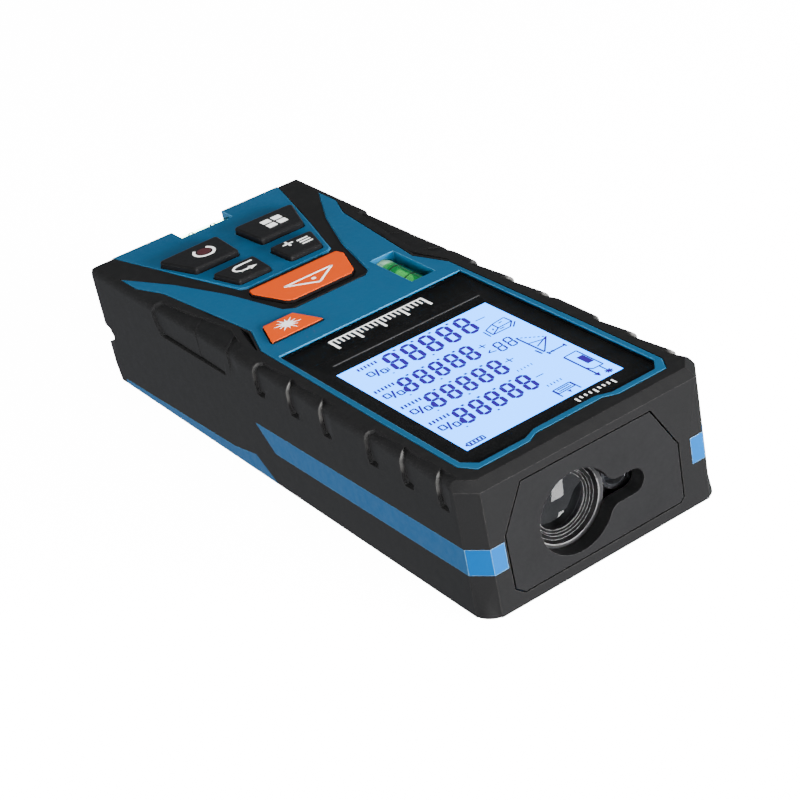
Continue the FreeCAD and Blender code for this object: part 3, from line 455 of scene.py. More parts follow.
def lit(tree, colour, strength, sheet_colour, rough, share):
    """A glowing sheet: its own light mixed, by share, with a plain surface that takes outside light."""
    glow = add(tree, "Emission", {"Color": colour, "Strength": strength})
    sheet = add(tree, "BsdfPrincipled", {"Base Color": rgba(sheet_colour), "Roughness": rough})
    output(tree, add(tree, "MixShader", {0: share, 1: sheet.outputs[0], 2: glow.outputs[0]}).outputs[0])


def lcd():
    """A lit display: even pale blue with a faint cell pattern and faint slow cloudiness."""
    material, tree = new_material()
    place = millimetres(tree)
    cloud = noise(tree, place, 14.0, 2.0)
    dots = cells(tree, place, 0.22)
    colour = colour_mix(tree, cloud, (0.0, 0.235, 1.0), (0.0, 0.25, 1.0))
    colour = colour_mix(tree, remap(tree, dots, 0.2, 0.8, 0.0, 0.1), colour, (0.0, 0.17, 0.8))
    lit(tree, colour, 12.5, (0.02, 0.1, 0.3), rough=0.35, share=0.75)
    return material


def segment_ink():
    """Dark violet-blue liquid-crystal segments."""
    material, tree = new_material()
    place = millimetres(tree)
    vary = noise(tree, place, 0.5, 2.0)
    colour = colour_mix(tree, vary, (0.045, 0.0, 0.38), (0.055, 0.0, 0.46))
    lit(tree, colour, 1.25, (0.02, 0.01, 0.2), rough=0.4, share=0.8)
    return material


def print_white():
    return surface((0.9, 0.9, 0.88), 0.5, second=(0.82, 0.82, 0.8), blotch=1.0, grain=0.15,
                   depth=0.004, edge_radius=0.02)


def print_red():
    return surface((0.04, 0.0015, 0.004), 0.5, second=(0.028, 0.001, 0.003), blotch=0.8, grain=0.15,
                   depth=0.004, edge_radius=0.02)


# The grey of the painted reflection line on the glass.
def painted_reflection_grey():
    return surface((0.045, 0.045, 0.045), 0.5, grain=0.2, depth=0.002, edge_radius=0.02)


def print_black():
    return surface((0.004, 0.004, 0.004), 0.45, grain=0.2, depth=0.002, edge_radius=0.02)


SLOT_LOOKS = (shell_blue, jacket_rubber, trim_blue, accent_blue, panel_black, housing_black, key_black,
              key_orange, silicone_grey, gasket_black, clear_glass, mask_black, lcd, backlight_white,
              holder_white, circuit_green, chip_black, dome_steel, nickel_steel, spring_steel, screw_steel,
              strap_steel, brass, cell_wrap, foam, flex_amber, bench_alloy, barrel_black, ring_black,
              optic_glass, diode_can, vial_clear, vial_liquid, vial_air, vial_plug, buzzer_black)
EXTRA_LOOKS = (pad_rubber, segment_ink, print_white, print_red, painted_reflection_grey, print_black)


def finished_looks():
    """Every finished material, named after the function that makes it."""
    looks = {}
    for make in SLOT_LOOKS + EXTRA_LOOKS:
        look = make()
        look.name = make.__name__
        looks[make.__name__] = look
    return looks


def paint_cad_nodes(looks):
    """Swaps each CAD node's plain material for the finished one of the same slot."""
    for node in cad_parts.values():
        for index, old in enumerate(node.data.materials):
            slot_name = old.name.split(".")[0]
            node.data.materials[index] = looks[slot_name]


# ---------------------------------------------------------------- mesh helpers

def new_object(name, data):
    thing = bpy.data.objects.new(name, data)
    bpy.context.scene.collection.objects.link(thing)
    return thing


def mesh_piece(name, points, faces, look, body, smooth_angle=None):
    """A mesh piece from points in millimetres that rides on a CAD body."""
    mesh = bpy.data.meshes.new(name)
    mesh.from_pydata([tuple(c * MM for c in p) for p in points], [], faces)
    mesh.materials.append(look)
    mesh.validate()
    if smooth_angle:
        mesh.shade_smooth()
        mesh.set_sharp_from_angle(angle=math.radians(smooth_angle))
    piece = new_object(name, mesh)
    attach(piece, body)
    return piece


def area_of(outline):
    total = 0.0
    for (x0, y0), (x1, y1) in zip(outline, outline[1:] + outline[:1]):
        total += x0 * y1 - x1 * y0
    return total / 2


def prism(outline, low, high, first=0):
    """Points and faces of a closed prism over a flat outline. The faces count their points from first."""
    if area_of(outline) < 0:
        outline = outline[::-1]
    count = len(outline)
    points = [(x, y, low) for x, y in outline] + [(x, y, high) for x, y in outline]
    faces = [[first + i for i in reversed(range(count))], [first + count + i for i in range(count)]]
    for i in range(count):
        j = (i + 1) % count
        faces.append([first + i, first + j, first + count + j, first + count + i])
    return points, faces


def plates(name, outlines, z, look, body):
    """Thin closed plates with the given flat outlines."""
    points = []
    faces = []
    for outline in outlines:
        more_points, more_faces = prism(outline, z, z + PRINT_T, len(points))
        points += more_points
        faces += more_faces
    mesh_piece(name, points, faces, look, body)


def stroke(start, end, width):
    """A straight stroke as a four-cornered outline."""
    dx = end[0] - start[0]
    dy = end[1] - start[1]
    length = math.hypot(dx, dy)
    nx = -dy / length * width / 2
    ny = dx / length * width / 2
    return [(start[0] + nx, start[1] + ny), (end[0] + nx, end[1] + ny),
            (end[0] - nx, end[1] - ny), (start[0] - nx, start[1] - ny)]


def strokes(points, width):
    return [stroke(a, b, width) for a, b in zip(points, points[1:])]


ARC_STEPS = 28


def disc(x, y, radius, sides=20):
    return [(x + radius * math.cos(2 * math.pi * i / sides), y + radius * math.sin(2 * math.pi * i / sides))
            for i in range(sides)]


def arc_band(x, y, inner, outer, start_deg, end_deg):
    """A band between two radii, from one angle to another."""
    turn = end_deg - start_deg
    angles = [math.radians(start_deg + turn * i / ARC_STEPS) for i in range(ARC_STEPS + 1)]
    far = [(x + outer * math.cos(a), y + outer * math.sin(a)) for a in angles]
    near = [(x + inner * math.cos(a), y + inner * math.sin(a)) for a in reversed(angles)]
    return far + near


# ---------------------------------------------------------------- grip jacket

# Inner edge of the grip pads in plan, just outside the blue frame, as (y, x).
PAD_INNER = ((-39.0, 21.5), (-11.3, 18.6), (-3.4, 21.35), (35.0, 21.6), (58.6, 21.45))
PAD_X_MIN = 18.6
PAD_Y0 = PAD_INNER[0][0]
PAD_Y1 = PAD_INNER[-1][0]
PAD_Z = 17.4
PAD_T = 1.15
EDGE_R = 1.6
STEP_AT = 1.35
GROUPS = ((0.0, 11.2, 21.5), (35.4, 45.4, 55.2))
GROOVES = GROUPS[0] + GROUPS[1]
GROUP_LAST_RUN = 3.4
SCOOP_DEPTH = 0.62
SCOOP_BOTTOM_Z = 19.1
HOOK_REACH = 2.5
HOOK_DEPTH = 0.33
PANEL_SLOT_DEPTH = 0.35
PANEL_LEFT = -37.4
PANEL_NOTCH = -20.6
PANEL_RIGHT = -8.9
PANEL_BOTTOM_Z = 18.95
PANEL_LINE = (-35.2, -10.9)
PANEL_SHIFT_START = PANEL_NOTCH - 6
SHOULDER_Z = 23.4
RIM_SOFT = 0.22
LIP_END_Z = 20.9
MIN_WALL = 0.12
FIRST_LIP_SHARE = 0.3
CUTTER_SLACK = 3.0
CUTTER_RISE = 2.0


def smooth(value):
    value = np.clip(value, 0.0, 1.0)
    return value * value * (3 - 2 * value)


def band(value, start, rise, end, fall):
    """Rises from 0 to 1 over rise from start, and falls back to 0 over fall from end."""
    return smooth((value - start) / rise) * (1 - smooth((value - end) / fall))


def half_width(y):
    """Distance of the side face from the middle plane."""
    share = (y + END_Y) / (2 * END_Y - CORNER_CUT_Y)
    return HALF_KEYPAD + (HALF_LASER - HALF_KEYPAD) * share


def grip_rows():
    """Where the pads' rows run: close together at each groove lip, wider apart between."""
    lips = [PANEL_LEFT, PANEL_NOTCH, PANEL_RIGHT] + list(GROOVES)
    near = (-0.5, -0.3, -0.18, -0.1, -0.04, 0.02, 0.08, 0.16, 0.26, 0.4, 0.6)
    rows = [lip + step for lip in lips for step in near]
    rows += [y for y in np.arange(PAD_Y0, PAD_Y1, 0.45) if min(abs(y - lip) for lip in lips) > 0.75]
    rows += [PAD_Y0, PAD_Y1]
    rows += [PANEL_LINE[0] - 0.2, PANEL_LINE[0] + 0.2, PANEL_LINE[1] - 0.2, PANEL_LINE[1] + 0.2]
    return np.array(sorted(set(round(y, 3) for y in rows if PAD_Y0 <= y <= PAD_Y1)))


def grip_profile(rows):
    """Base points, outward normals and the run below the rim step, for every row and column."""
    inner = np.interp(rows, [p[0] for p in PAD_INNER], [p[1] for p in PAD_INNER])
    outer = half_width(rows)
    flat = outer - EDGE_R - inner
    arc_end = flat + EDGE_R * math.pi / 2
    first = np.array([0.0, 0.5, 1.0, 1.22, 1.31, 1.37, 1.43, 1.5, 1.6, 1.75, 2.0])
    second = np.linspace(0, 1, 17)[1:]
    side_z = np.concatenate([np.arange(23.1, 20.2, -0.3), np.arange(20.1, 18.45, -0.1), [18.2, 17.8, PAD_Z]])
    columns = [np.full(len(rows), t) for t in first]
    columns += [first[-1] + (arc_end - first[-1]) * f for f in second]
    columns += [arc_end + (TOP_Z - EDGE_R - z) for z in side_z]
    run = np.stack(columns, axis=1)
    angle = np.clip((run - flat[:, None]) / EDGE_R, 0, math.pi / 2)
    below = np.clip(run - arc_end[:, None], 0, None)
    x = inner[:, None] + np.minimum(run, flat[:, None]) + EDGE_R * np.sin(angle)
    z = TOP_Z - EDGE_R * (1 - np.cos(angle)) - below
    normal = np.stack([np.sin(angle), np.zeros_like(x), np.cos(angle)], axis=2)
    return x, z, normal, run - STEP_AT, arc_end[:, None] - STEP_AT


def lip_shift(rows, run, arc_run):
    """How far each row leans along Y on its way down, so that grooves slant over the shoulder."""
    share = np.clip(run / arc_run, 0, 1.0)
    lower = np.clip(run - arc_run, 0, None)
    groove = np.interp(share, [0, 0.35, 0.7, 1.0], [-0.95, -0.1, 0.25, 0.15])
    groove = groove + np.interp(lower, [0, 2.3, 3.6, 4.3], [0, -0.15, 0.0, 0.15])
    opening = np.interp(share, [0, 0.3, 0.6, 1.0], [0.95, 0.35, 0.1, 0.1])
    opening = opening + np.interp(lower, [0, 2.3, 3.6, 4.3], [0, -0.15, 0.0, 0.15])
    panel = np.interp(share, [0, 0.6, 1.0], [-3.6, -1.0, 0.0])
    none = np.zeros_like(share)
    anchors = [(PAD_Y0, none), (PANEL_LEFT, none), (PANEL_SHIFT_START, none), (PANEL_NOTCH, panel),
               (PANEL_RIGHT, panel)]
    for group in GROUPS:
        anchors.append((group[0], opening))
        anchors += [(y, groove) for y in group[1:]]
    anchors.append((PAD_Y1, none))
    shift = np.zeros_like(share)
    for (y0, first), (y1, last) in zip(anchors, anchors[1:]):
        here = (rows >= y0) & (rows <= y1)
        mix = ((rows - y0) / (y1 - y0))[:, None]
        blended = first * (1 - mix) + last * mix
        shift[here] = blended[here]
    return shift


def scoop_depth(v, run, z):
    """Depth of the finger scoops: each starts at a lip, is deepest there and runs out before the next."""
    rim = smooth(run / RIM_SOFT)
    depth = np.zeros_like(v + z)
    for group in GROUPS:
        for i, start in enumerate(group):
            length = group[i + 1] - start if i + 1 < len(group) else GROUP_LAST_RUN
            along = v - start
            share = np.clip(along / length, 0, 1)
            lip = smooth((along + 0.14) / 0.2)
            fade = (1 - share) ** 1.15
            soft = 0.16 + np.clip(along - 1.3, 0, None) * 1.1
            floor = smooth((z - SCOOP_BOTTOM_Z) / soft)
            inside = (along > -0.2) & (along <= length)
            depth = np.maximum(depth, np.where(inside, SCOOP_DEPTH * lip * fade * floor * rim, 0))
    return depth


def hook_depth(v, run, z):
    """The narrow slot that follows each lip down and turns along the body at its foot."""
    depth = np.zeros_like(v + z)
    for start in GROOVES:
        along = v - start
        fall = np.clip((SHOULDER_Z - z) / (SHOULDER_Z - SCOOP_BOTTOM_Z), 0, 1)
        width = 0.22 + 0.3 * fall ** 2
        slot = band(along, -0.08, 0.1, width * 0.5, width * 0.6)
        slot = slot * smooth(run / 0.5) * smooth((z - SCOOP_BOTTOM_Z) / 0.15)
        foot = band(along, -0.05, 0.15, HOOK_REACH - 0.7, 0.8)
        foot = foot * band(z, SCOOP_BOTTOM_Z, 0.15, SCOOP_BOTTOM_Z + 0.45, 0.3)
        depth = np.maximum(depth, slot * (0.08 + 0.25 * fall ** 2))
        depth = np.maximum(depth, foot * HOOK_DEPTH)
    return depth


def panel_depth(v, run, arc_run, z):
    """The long recess beside the keypad, with its lower slot and two shallow lips."""
    down = np.where(run < arc_run, run / arc_run * 3.5, 3.5 + (SHOULDER_Z - z))
    left = np.interp(down, [0, 1.5, 4.4, 6.2, 8.0], [1.0, 0.4, 0.0, 0.7, 2.2]) + PANEL_LEFT
    rim = smooth(run / RIM_SOFT)
    start = smooth((v - left) / 0.45)
    floor_end = smooth((PANEL_LINE[1] - v) / 0.5)
    floor_soft = 0.16 + 3.0 * (1 - floor_end)
    floor = smooth((z - PANEL_BOTTOM_Z) / floor_soft)
    teeth = np.interp(v, [PANEL_LEFT, PANEL_NOTCH - 0.12, PANEL_NOTCH + 0.1, PANEL_RIGHT - 0.14,
                          PANEL_RIGHT + 0.1, PANEL_RIGHT + 3.2], [0.5, 0.34, 0.42, 0.16, 0.42, 0.0])
    upper = 1 - smooth((22.4 - z) / 2.2)
    beyond = v > PANEL_RIGHT
    depth = teeth * start * rim * floor * np.where(beyond, upper, 1.0)
    slot = band(z, PANEL_BOTTOM_Z, 0.12, PANEL_BOTTOM_Z + 0.3, 0.2)
    slot = slot * smooth((v - PANEL_LINE[0]) / 0.6) * floor_end
    return depth + PANEL_SLOT_DEPTH * slot


def lip_shine(v, run, z):
    """How brightly each point of the outside shines: a thin line on each groove's lip, fading downwards."""
    shine = np.zeros_like(v + z)
    for group in GROUPS:
        for i, start in enumerate(group):
            along = v - start
            line = band(along, -0.2, 0.06, -0.06, 0.06)
            fade = smooth((run - 0.5) / 0.8) * smooth((z - LIP_END_Z) / 1.6)
            shine = np.maximum(shine, line * fade * (1.0 if i else FIRST_LIP_SHARE))
    return shine


def grip_pad_mesh(side):
    """Points, faces and lip values of one pad, closed all round and sculpted outside. side is 1 or -1."""
    rows = grip_rows()
    x, z, normal, run, arc_run = grip_profile(rows)
    v = rows[:, None] + np.zeros_like(x)
    y = v + lip_shift(rows, run, arc_run)
    depth = scoop_depth(v, run, z) + hook_depth(v, run, z) + panel_depth(v, run, arc_run, z)
    depth = np.minimum(depth, PAD_T - MIN_WALL)
    outer = np.stack([x, y, z], axis=2) - normal * depth[:, :, None]
    inner = np.stack([x, v, z], axis=2) - normal * PAD_T
    count_rows, count_cols = x.shape
    points = np.concatenate([outer.reshape(-1, 3), inner.reshape(-1, 3)])
    points[:, 0] *= side
    shine = lip_shine(v, run, z).reshape(-1)
    shine = np.concatenate([shine, np.zeros_like(shine)])
    index = np.arange(count_rows * count_cols).reshape(count_rows, count_cols)
    back = index + index.size
    quads = np.stack([index[:-1, :-1], index[:-1, 1:], index[1:, 1:], index[1:, :-1]], axis=2).reshape(-1, 4)
    inside = quads[:, ::-1] + index.size
    loop = np.concatenate([index[0, :], index[1:, -1], index[-1, -2::-1], index[-2:0:-1, 0]])
    back_loop = np.concatenate([back[0, :], back[1:, -1], back[-1, -2::-1], back[-2:0:-1, 0]])
    rim = np.stack([loop, back_loop, np.roll(back_loop, -1), np.roll(loop, -1)], axis=1)
    faces = np.concatenate([quads, inside, rim])
    if side > 0:
        faces = faces[:, ::-1]
    return points, faces, shine


def pad_cutter(side):
    """The block that clears room for one pad."""
    outside = HALF_KEYPAD + CUTTER_SLACK
    plan = [(x, y) for y, x in PAD_INNER] + [(outside, PAD_Y1), (outside, PAD_Y0)]
    points, faces = prism([(side * x, y) for x, y in plan], PAD_Z, TOP_Z + CUTTER_RISE)
    mesh = bpy.data.meshes.new("cutter")
    mesh.from_pydata([tuple(c * MM for c in p) for p in points], [], faces)
    return new_object("cutter", mesh)


def merged_copy(node_name):
    """A new mesh with a CAD node's shape and its doubled vertices joined."""
    work = bmesh.new()
    work.from_mesh(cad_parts[node_name].data)
    bmesh.ops.remove_doubles(work, verts=work.verts, dist=1e-7)
    mesh = bpy.data.meshes.new(node_name + "_copy")
    work.to_mesh(mesh)
    work.free()
    return mesh


def sculpted_jacket(look, pad_look):
    """The rubber jacket with its finger scoops, grooves and thumb panels."""
    jacket = new_object("jacket_body", merged_copy("grip_jacket"))
    tools = [pad_cutter(1), pad_cutter(-1)]
    for tool in tools:
        cut = jacket.modifiers.new("cut", "BOOLEAN")
        cut.operation = "DIFFERENCE"
        cut.solver = "EXACT"
        cut.object = tool
    bpy.context.view_layer.update()
    depsgraph = bpy.context.evaluated_depsgraph_get()
    mesh = bpy.data.meshes.new_from_object(jacket.evaluated_get(depsgraph))
    jacket.modifiers.clear()
    jacket.data = mesh
    for tool in tools:
        bpy.data.objects.remove(tool)
    mesh.materials.clear()
    mesh.materials.append(look)
    mesh.shade_smooth()
    mesh.set_sharp_from_angle(angle=math.radians(20))
    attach(jacket, "housing")
    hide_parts("grip_jacket")
    for side, name in ((1, "grip_pad_right"), (-1, "grip_pad_left")):
        points, faces, shine = grip_pad_mesh(side)
        pad = mesh_piece(name, points.tolist(), faces.tolist(), pad_look, "housing",
                         smooth_angle=38)
        lip = pad.data.attributes.new("lip", "FLOAT", "POINT")
        lip.data.foreach_set("value", shine.astype(np.float32))


# ---------------------------------------------------------------- optics

BAFFLE = ((0.05, 0.15), (0.05, 2.0), (0.16, 2.0), (0.62, 1.25), (1.25, 1.18), (1.55, 0.74), (2.08, 0.7),
          (2.1, 0.62), (1.00, 0.38))
BAFFLE_STEPS = 96


def lathe(profile, centre, along_x, steps):
    """Points and faces of a closed ring: a (radius, distance) profile turned about centre, along X or Y."""
    points = []
    faces = []
    count = len(profile)
    for i in range(steps):
        angle = 2 * math.pi * i / steps
        for radius, far in profile:
            across = radius * math.cos(angle)
            up = centre[2] + radius * math.sin(angle)
            if along_x:
                points.append((centre[0] + far, centre[1] - across, up))
            else:
                points.append((centre[0] + across, centre[1] + far, up))
        following = (i + 1) % steps
        for j in range(count):
            k = (j + 1) % count
            faces.append([i * count + j, i * count + k, following * count + k, following * count + j])
    return points, faces


def stepped_baffle(look):
    """The ring in front of the receiver lens, with fine steps whose edges show as bright arcs, lit partly by
    the lamps and partly by painted highlights.
    """
    low, high = span("lens_retainer")
    radius = (high.x - low.x) / 2
    profile = [(radius - inset, ahead) for inset, ahead in BAFFLE]
    centre = ((low.x + high.x) / 2, low.y, (low.z + high.z) / 2)
    points, faces = lathe(profile, centre, False, BAFFLE_STEPS)
    ring = mesh_piece("stepped_baffle", points, faces, look, "housing", smooth_angle=25)
    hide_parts("lens_retainer")


# ---------------------------------------------------------------- vial lines

VIAL_LINE_AT = 2.6
VIAL_LINE_W = 0.35
VIAL_LINE_T = 0.03
VIAL_LINE_STEPS = 48


def vial_lines(name, tube, along_x, look):
    """The two dark rings round a bubble vial, between which the bubble rests when the meter is level."""
    low, high = span(tube)
    radius = (high.z - low.z) / 2
    centre = tuple((a + b) / 2 for a, b in zip(low, high))
    points = []
    faces = []
    for middle in (-VIAL_LINE_AT, VIAL_LINE_AT):
        near = middle - VIAL_LINE_W / 2
        far = middle + VIAL_LINE_W / 2
        profile = [(radius, near), (radius + VIAL_LINE_T, near), (radius + VIAL_LINE_T, far), (radius, far)]
        ring, ring_faces = lathe(profile, centre, along_x, VIAL_LINE_STEPS)
        faces += [[i + len(points) for i in face] for face in ring_faces]
        points += ring
    mesh_piece(name, points, faces, look, "housing", smooth_angle=30)


# ---------------------------------------------------------------- display graphics

SLANT = 0.1
FINE = 0.3
LINE = 0.38
FIGURES = 5
DECIMAL_DOT = 0.55
UPPER_DOT = 0.42
MARKS_END_X = 11.1
# A row of figures: its middle in Y, the first figure's X, the pitch, and a figure's width, height and stroke.
LARGE_ROW = (17.95, -8.85, 3.84, 2.85, 6.9, 0.86)
SMALL_ROWS = [(y, -3.35, 3.29, 2.5, 5.8, 0.78) for y in (26.5, 34.45, 42.45)]


def seven_segment(x, y, width, height, thick):
    """The seven bars of an 8, centred at (x, y) and leaning like italic figures."""
    half_w = (width - thick) / 2
    half_h = (height - thick) / 2
    gap = thick * 0.05
    ends = [((-half_w, up), (half_w, up)) for up in (half_h, 0, -half_h)]
    ends += [((side, up), (side, up + half_h)) for up in (0, -half_h) for side in (-half_w, half_w)]
    bars = []
    for (ax, ay), (bx, by) in ends:
        length = math.hypot(bx - ax, by - ay)
        ux = (bx - ax) / length
        uy = (by - ay) / length
        px = -uy
        py = ux
        t = thick / 2
        start = (ax + ux * gap, ay + uy * gap)
        end = (bx - ux * gap, by - uy * gap)
        bar = [start,
               (start[0] + ux * t + px * t, start[1] + uy * t + py * t),
               (end[0] - ux * t + px * t, end[1] - uy * t + py * t),
               end,
               (end[0] - ux * t - px * t, end[1] - uy * t - py * t),
               (start[0] + ux * t - px * t, start[1] + uy * t - py * t)]
        bars.append([(x + a + SLANT * b, y + b) for a, b in bar])
    return bars


def square(x, y, size):
    h = size / 2
    return [(x - h, y - h), (x + h, y - h), (x + h, y + h), (x - h, y + h)]


def plus_sign(x, y, size, width):
    h = size / 2
    return [stroke((x - h, y), (x + h, y), width), stroke((x, y - h), (x, y + h), width)]


def display_rows():
    """Four rows of figures, larger in the first, each with its decimal dots, tick marks and fraction."""
    shapes = []
    for row in [LARGE_ROW] + SMALL_ROWS:
        y, first_x, pitch, width, height, thick = row
        for i in range(FIGURES):
            shapes += seven_segment(first_x + i * pitch, y, width, height, thick)
        for i in range(FIGURES - 1):
            shapes.append(square(first_x + (i + 0.46) * pitch, y - height / 2 + 0.15, DECIMAL_DOT))
        right = first_x + (FIGURES - 0.5) * pitch
        shapes.append(square(first_x + 2.55 * pitch, y + height / 2 + 0.3, UPPER_DOT))
        ticks_down = 2.6 if row is LARGE_ROW else 2.3
        shapes += ticks(6, min(right + 0.25, MARKS_END_X) + 0.2, y - ticks_down - 0.5, 0.72, 0.16, 1.1, 0.38)
        shapes += fraction(min(right + 0.2, MARKS_END_X), y + 0.4)
    return shapes


def ticks(count, x, y, pitch, lean, height, width):
    """A run of small leaning ticks, which stand in for unit letters."""
    return [stroke((x + pitch * i, y), (x + lean + pitch * i, y + height), width) for i in range(count)]


def fraction(x, y):
    """Small figures above and below a slash, drawn with short bars only."""
    shapes = [stroke((x + 1.75, y - 0.9), (x + 2.65, y + 1.7), 0.4)]
    shapes += small_figure(x + 3.25, y + 0.0, 1.0, 1.5)
    shapes += small_figure(x + 1.1, y + 0.95, 0.9, 1.4)
    shapes.append(stroke((x + 0.15, y + 0.3), (x + 0.3, y + 1.6), 0.24))
    shapes.append(square(x + 0.45, y + 2.9, 0.34))
    return shapes


def small_figure(x, y, width, height):
    w = width / 2
    h = height / 2
    return strokes([(x - w, y - h), (x + w, y - h), (x + w, y + h), (x - w, y + h), (x - w, y - h)], 0.36)


def sign_marks():
    """The plus and minus signs before the rows."""
    shapes = [stroke((-13.0, 18.05), (-11.0, 17.95), 0.26), stroke((-6.9, 42.35), (-5.35, 42.3), 0.26)]
    return shapes + plus_sign(-6.12, 26.35, 1.55, 0.26) + plus_sign(-6.1, 34.05, 1.7, 0.26)


def counter_icon():
    """Two small figures and a little arrow."""
    shapes = strokes([(-6.8, 29.6), (-5.45, 29.2), (-6.2, 28.5)], FINE)
    for x in (-10.25, -8.05):
        shapes += seven_segment(x, 28.95, 1.65, 3.7, 0.4)
    return shapes


def box_icon():
    near = [(-10.0, 22.3), (-12.0, 21.4), (-12.0, 23.3), (-9.9, 24.6), (-10.0, 22.3)]
    far = [(-12.0, 21.4), (-14.9, 21.0), (-15.0, 23.2), (-12.0, 23.3)]
    front = [(-15.0, 23.2), (-13.6, 24.7), (-9.9, 24.6)]
    marks = [[(-13.8, 21.9), (-13.0, 22.0)], [(-11.2, 22.7), (-10.9, 23.3)], [(-12.9, 23.9), (-11.9, 23.9)]]
    spans = [[(-9.35, 22.4), (-9.25, 24.8)], [(-15.3, 23.8), (-13.9, 25.2)]]
    shapes = []
    for path in [near, far, front] + marks + spans:
        shapes += strokes(path, FINE)
    return shapes


def triangle_icon():
    foot = (-11.55, 28.9)
    long_side = 3.7
    dashes = 7
    dash_share = 0.55
    shapes = [stroke(foot, (-11.7, 36.7), LINE), stroke((-11.7, 36.7), (-15.25, 32.6), FINE)]
    for i in range(dashes):
        a = long_side * i / dashes
        b = long_side * (i + dash_share) / dashes
        shapes.append(stroke((foot[0] - a, foot[1] + a), (foot[0] - b, foot[1] + b), FINE))
    shapes.append(stroke((-15.25, 32.6), (-12.1, 34.2), FINE))
    shapes.append(stroke((-14.7, 33.2), (-11.8, 32.2), FINE))
    shapes.append(stroke((-10.95, 35.0), (-11.05, 36.9), LINE))
    return shapes


def arrow_head(x, y, dx, dy, size):
    """A filled arrow head whose tip is at (x, y) and which points along (dx, dy)."""
    return [(x, y), (x - dx * size - dy * size * 0.45, y - dy * size + dx * size * 0.45),
            (x - dx * size + dy * size * 0.45, y - dy * size - dx * size * 0.45)]


def span_icon():
    shapes = [stroke((-15.35, 37.6), (-11.95, 37.6), LINE)]
    shapes += [stroke((x, 37.05), (x, 38.15), LINE) for x in (-15.35, -11.85)]
    shapes.append(arrow_head(-12.0, 37.6, 1, 0, 0.9))
    return shapes


def spark(x, y, reach):
    """Four strokes that cross at one point."""
    shapes = []
    for i in range(4):
        across = reach * math.cos(math.pi * i / 4)
        along = reach * math.sin(math.pi * i / 4)
        shapes.append(stroke((x - across, y - along), (x + across, y + along), FINE))
    return shapes


def device_icon():
    body = [(-12.5, 40.9), (-15.2, 40.8), (-15.2, 47.9), (-13.1, 47.8), (-12.5, 46.6)]
    shapes = strokes(body, FINE)
    shapes.append(stroke((-12.45, 40.9), (-12.45, 50.0), LINE))
    shapes.append(arrow_head(-12.45, 50.7, 0, 1, 1.3))
    shapes.append([(-13.7, 42.7), (-15.0, 42.7), (-15.0, 45.8), (-13.7, 45.8)])
    shapes.append(stroke((-14.35, 47.9), (-14.35, 49.6), FINE))
    return shapes + spark(-14.35, 50.4, 0.75)


def list_icon():
    shapes = strokes([(-4.3, 48.1), (-7.8, 48.0), (-7.8, 49.6), (-4.4, 49.7), (-4.3, 48.1)], FINE)
    shapes += [stroke((-7.4, y), (-4.8, y + 0.05), FINE) for y in (48.5, 49.1)]
    shapes.append(stroke((-7.9, 48.0), (-7.95, 51.0), FINE))
    shapes.append(stroke((-4.2, 48.1), (-4.2, 50.9), FINE))
    shapes.append(arrow_head(-6.1, 50.9, 0, 1, 0.9))
    return shapes


def battery_icon():
    shapes = strokes([(11.7, 49.9), (14.9, 49.9), (14.9, 51.0), (11.7, 51.0), (11.7, 49.9)], FINE)
    shapes += ticks(4, 12.2, 50.1, 0.7, 0.1, 0.7, 0.4)
    shapes.append(stroke((15.2, 50.2), (15.2, 50.7), FINE))
    return shapes


def display_icons():
    """The signs, the measuring icons down the left, two more runs of ticks and the battery sign."""
    shapes = ticks(5, -7.7, 37.85, 0.72, 0.1, 0.65, 0.2) + ticks(5, -7.6, 45.8, 0.68, 0.1, 0.7, 0.22)
    for icon in (sign_marks, counter_icon, box_icon, triangle_icon, span_icon, device_icon, list_icon,
                 battery_icon):
        shapes += icon()
    return shapes


def display_graphics(looks):
    for name, shapes in (("display_figures", display_rows()), ("display_icons", display_icons())):
        plates(name, shapes, LCD_Z + PRINT_GAP, looks["segment_ink"], "housing")


# ---------------------------------------------------------------- prints on glass and keys, and a painted reflection on the glass

SCALE_TICKS = 21
SCALE_X = -9.0
SCALE_BASE_Y = 4.1
MARK_TICKS = 9
MARK_X = -4.0
MARK_PITCH = 0.95
MARK_Y = 54.4
PAINTED_REFLECTION_Y = 12.2
PRINT_W = 0.36
POWER_AT = (7.45, -46.3)
LASER_AT = (12.55, -7.35)
TILE_CLIP = 0.12
SUN_RAYS = 12


def glass_prints(looks):
    """A white scale between the display and the keys, a grey line above the display that is a painted
    reflection of the display's recess edge, a mark by the laser.
    """
    scale = [stroke((SCALE_X - 0.2, SCALE_BASE_Y), (SCALE_X + SCALE_TICKS - 0.8, SCALE_BASE_Y), PRINT_W)]
    for i in range(SCALE_TICKS):
        top, width = (7.7, 0.5) if i % 5 == 0 else (6.1, PRINT_W)
        scale.append(stroke((SCALE_X + i, SCALE_BASE_Y + 0.1), (SCALE_X + i, top), width))
    mark = []
    for i in range(MARK_TICKS):
        x = MARK_X - i * MARK_PITCH
        mark.append(stroke((x, MARK_Y), (x, MARK_Y + (0.8 if i % 4 else 1.4)), 0.34))
    # Painted reflection: a grey line where the display's recess edge would mirror on the glass.
    line = [stroke((-16.3, PAINTED_REFLECTION_Y), (15.5, PAINTED_REFLECTION_Y), 0.34)]
    for name, shapes, look in (("glass_scale", scale, "print_white"), ("glass_mark", mark, "print_white"),
                               ("painted_reflection_line", line, "painted_reflection_grey")):
        plates(name, shapes, GLASS_Z + PRINT_GAP, looks[look], "housing")


def rounded_tile(x, y, width, height):
    """A tile with clipped corners."""
    w = width / 2
    h = height / 2
    c = TILE_CLIP
    return [(x - w + c, y - h), (x + w - c, y - h), (x + w, y - h + c), (x + w, y + h - c),
            (x + w - c, y + h), (x - w + c, y + h), (x - w, y + h - c), (x - w, y - h + c)]


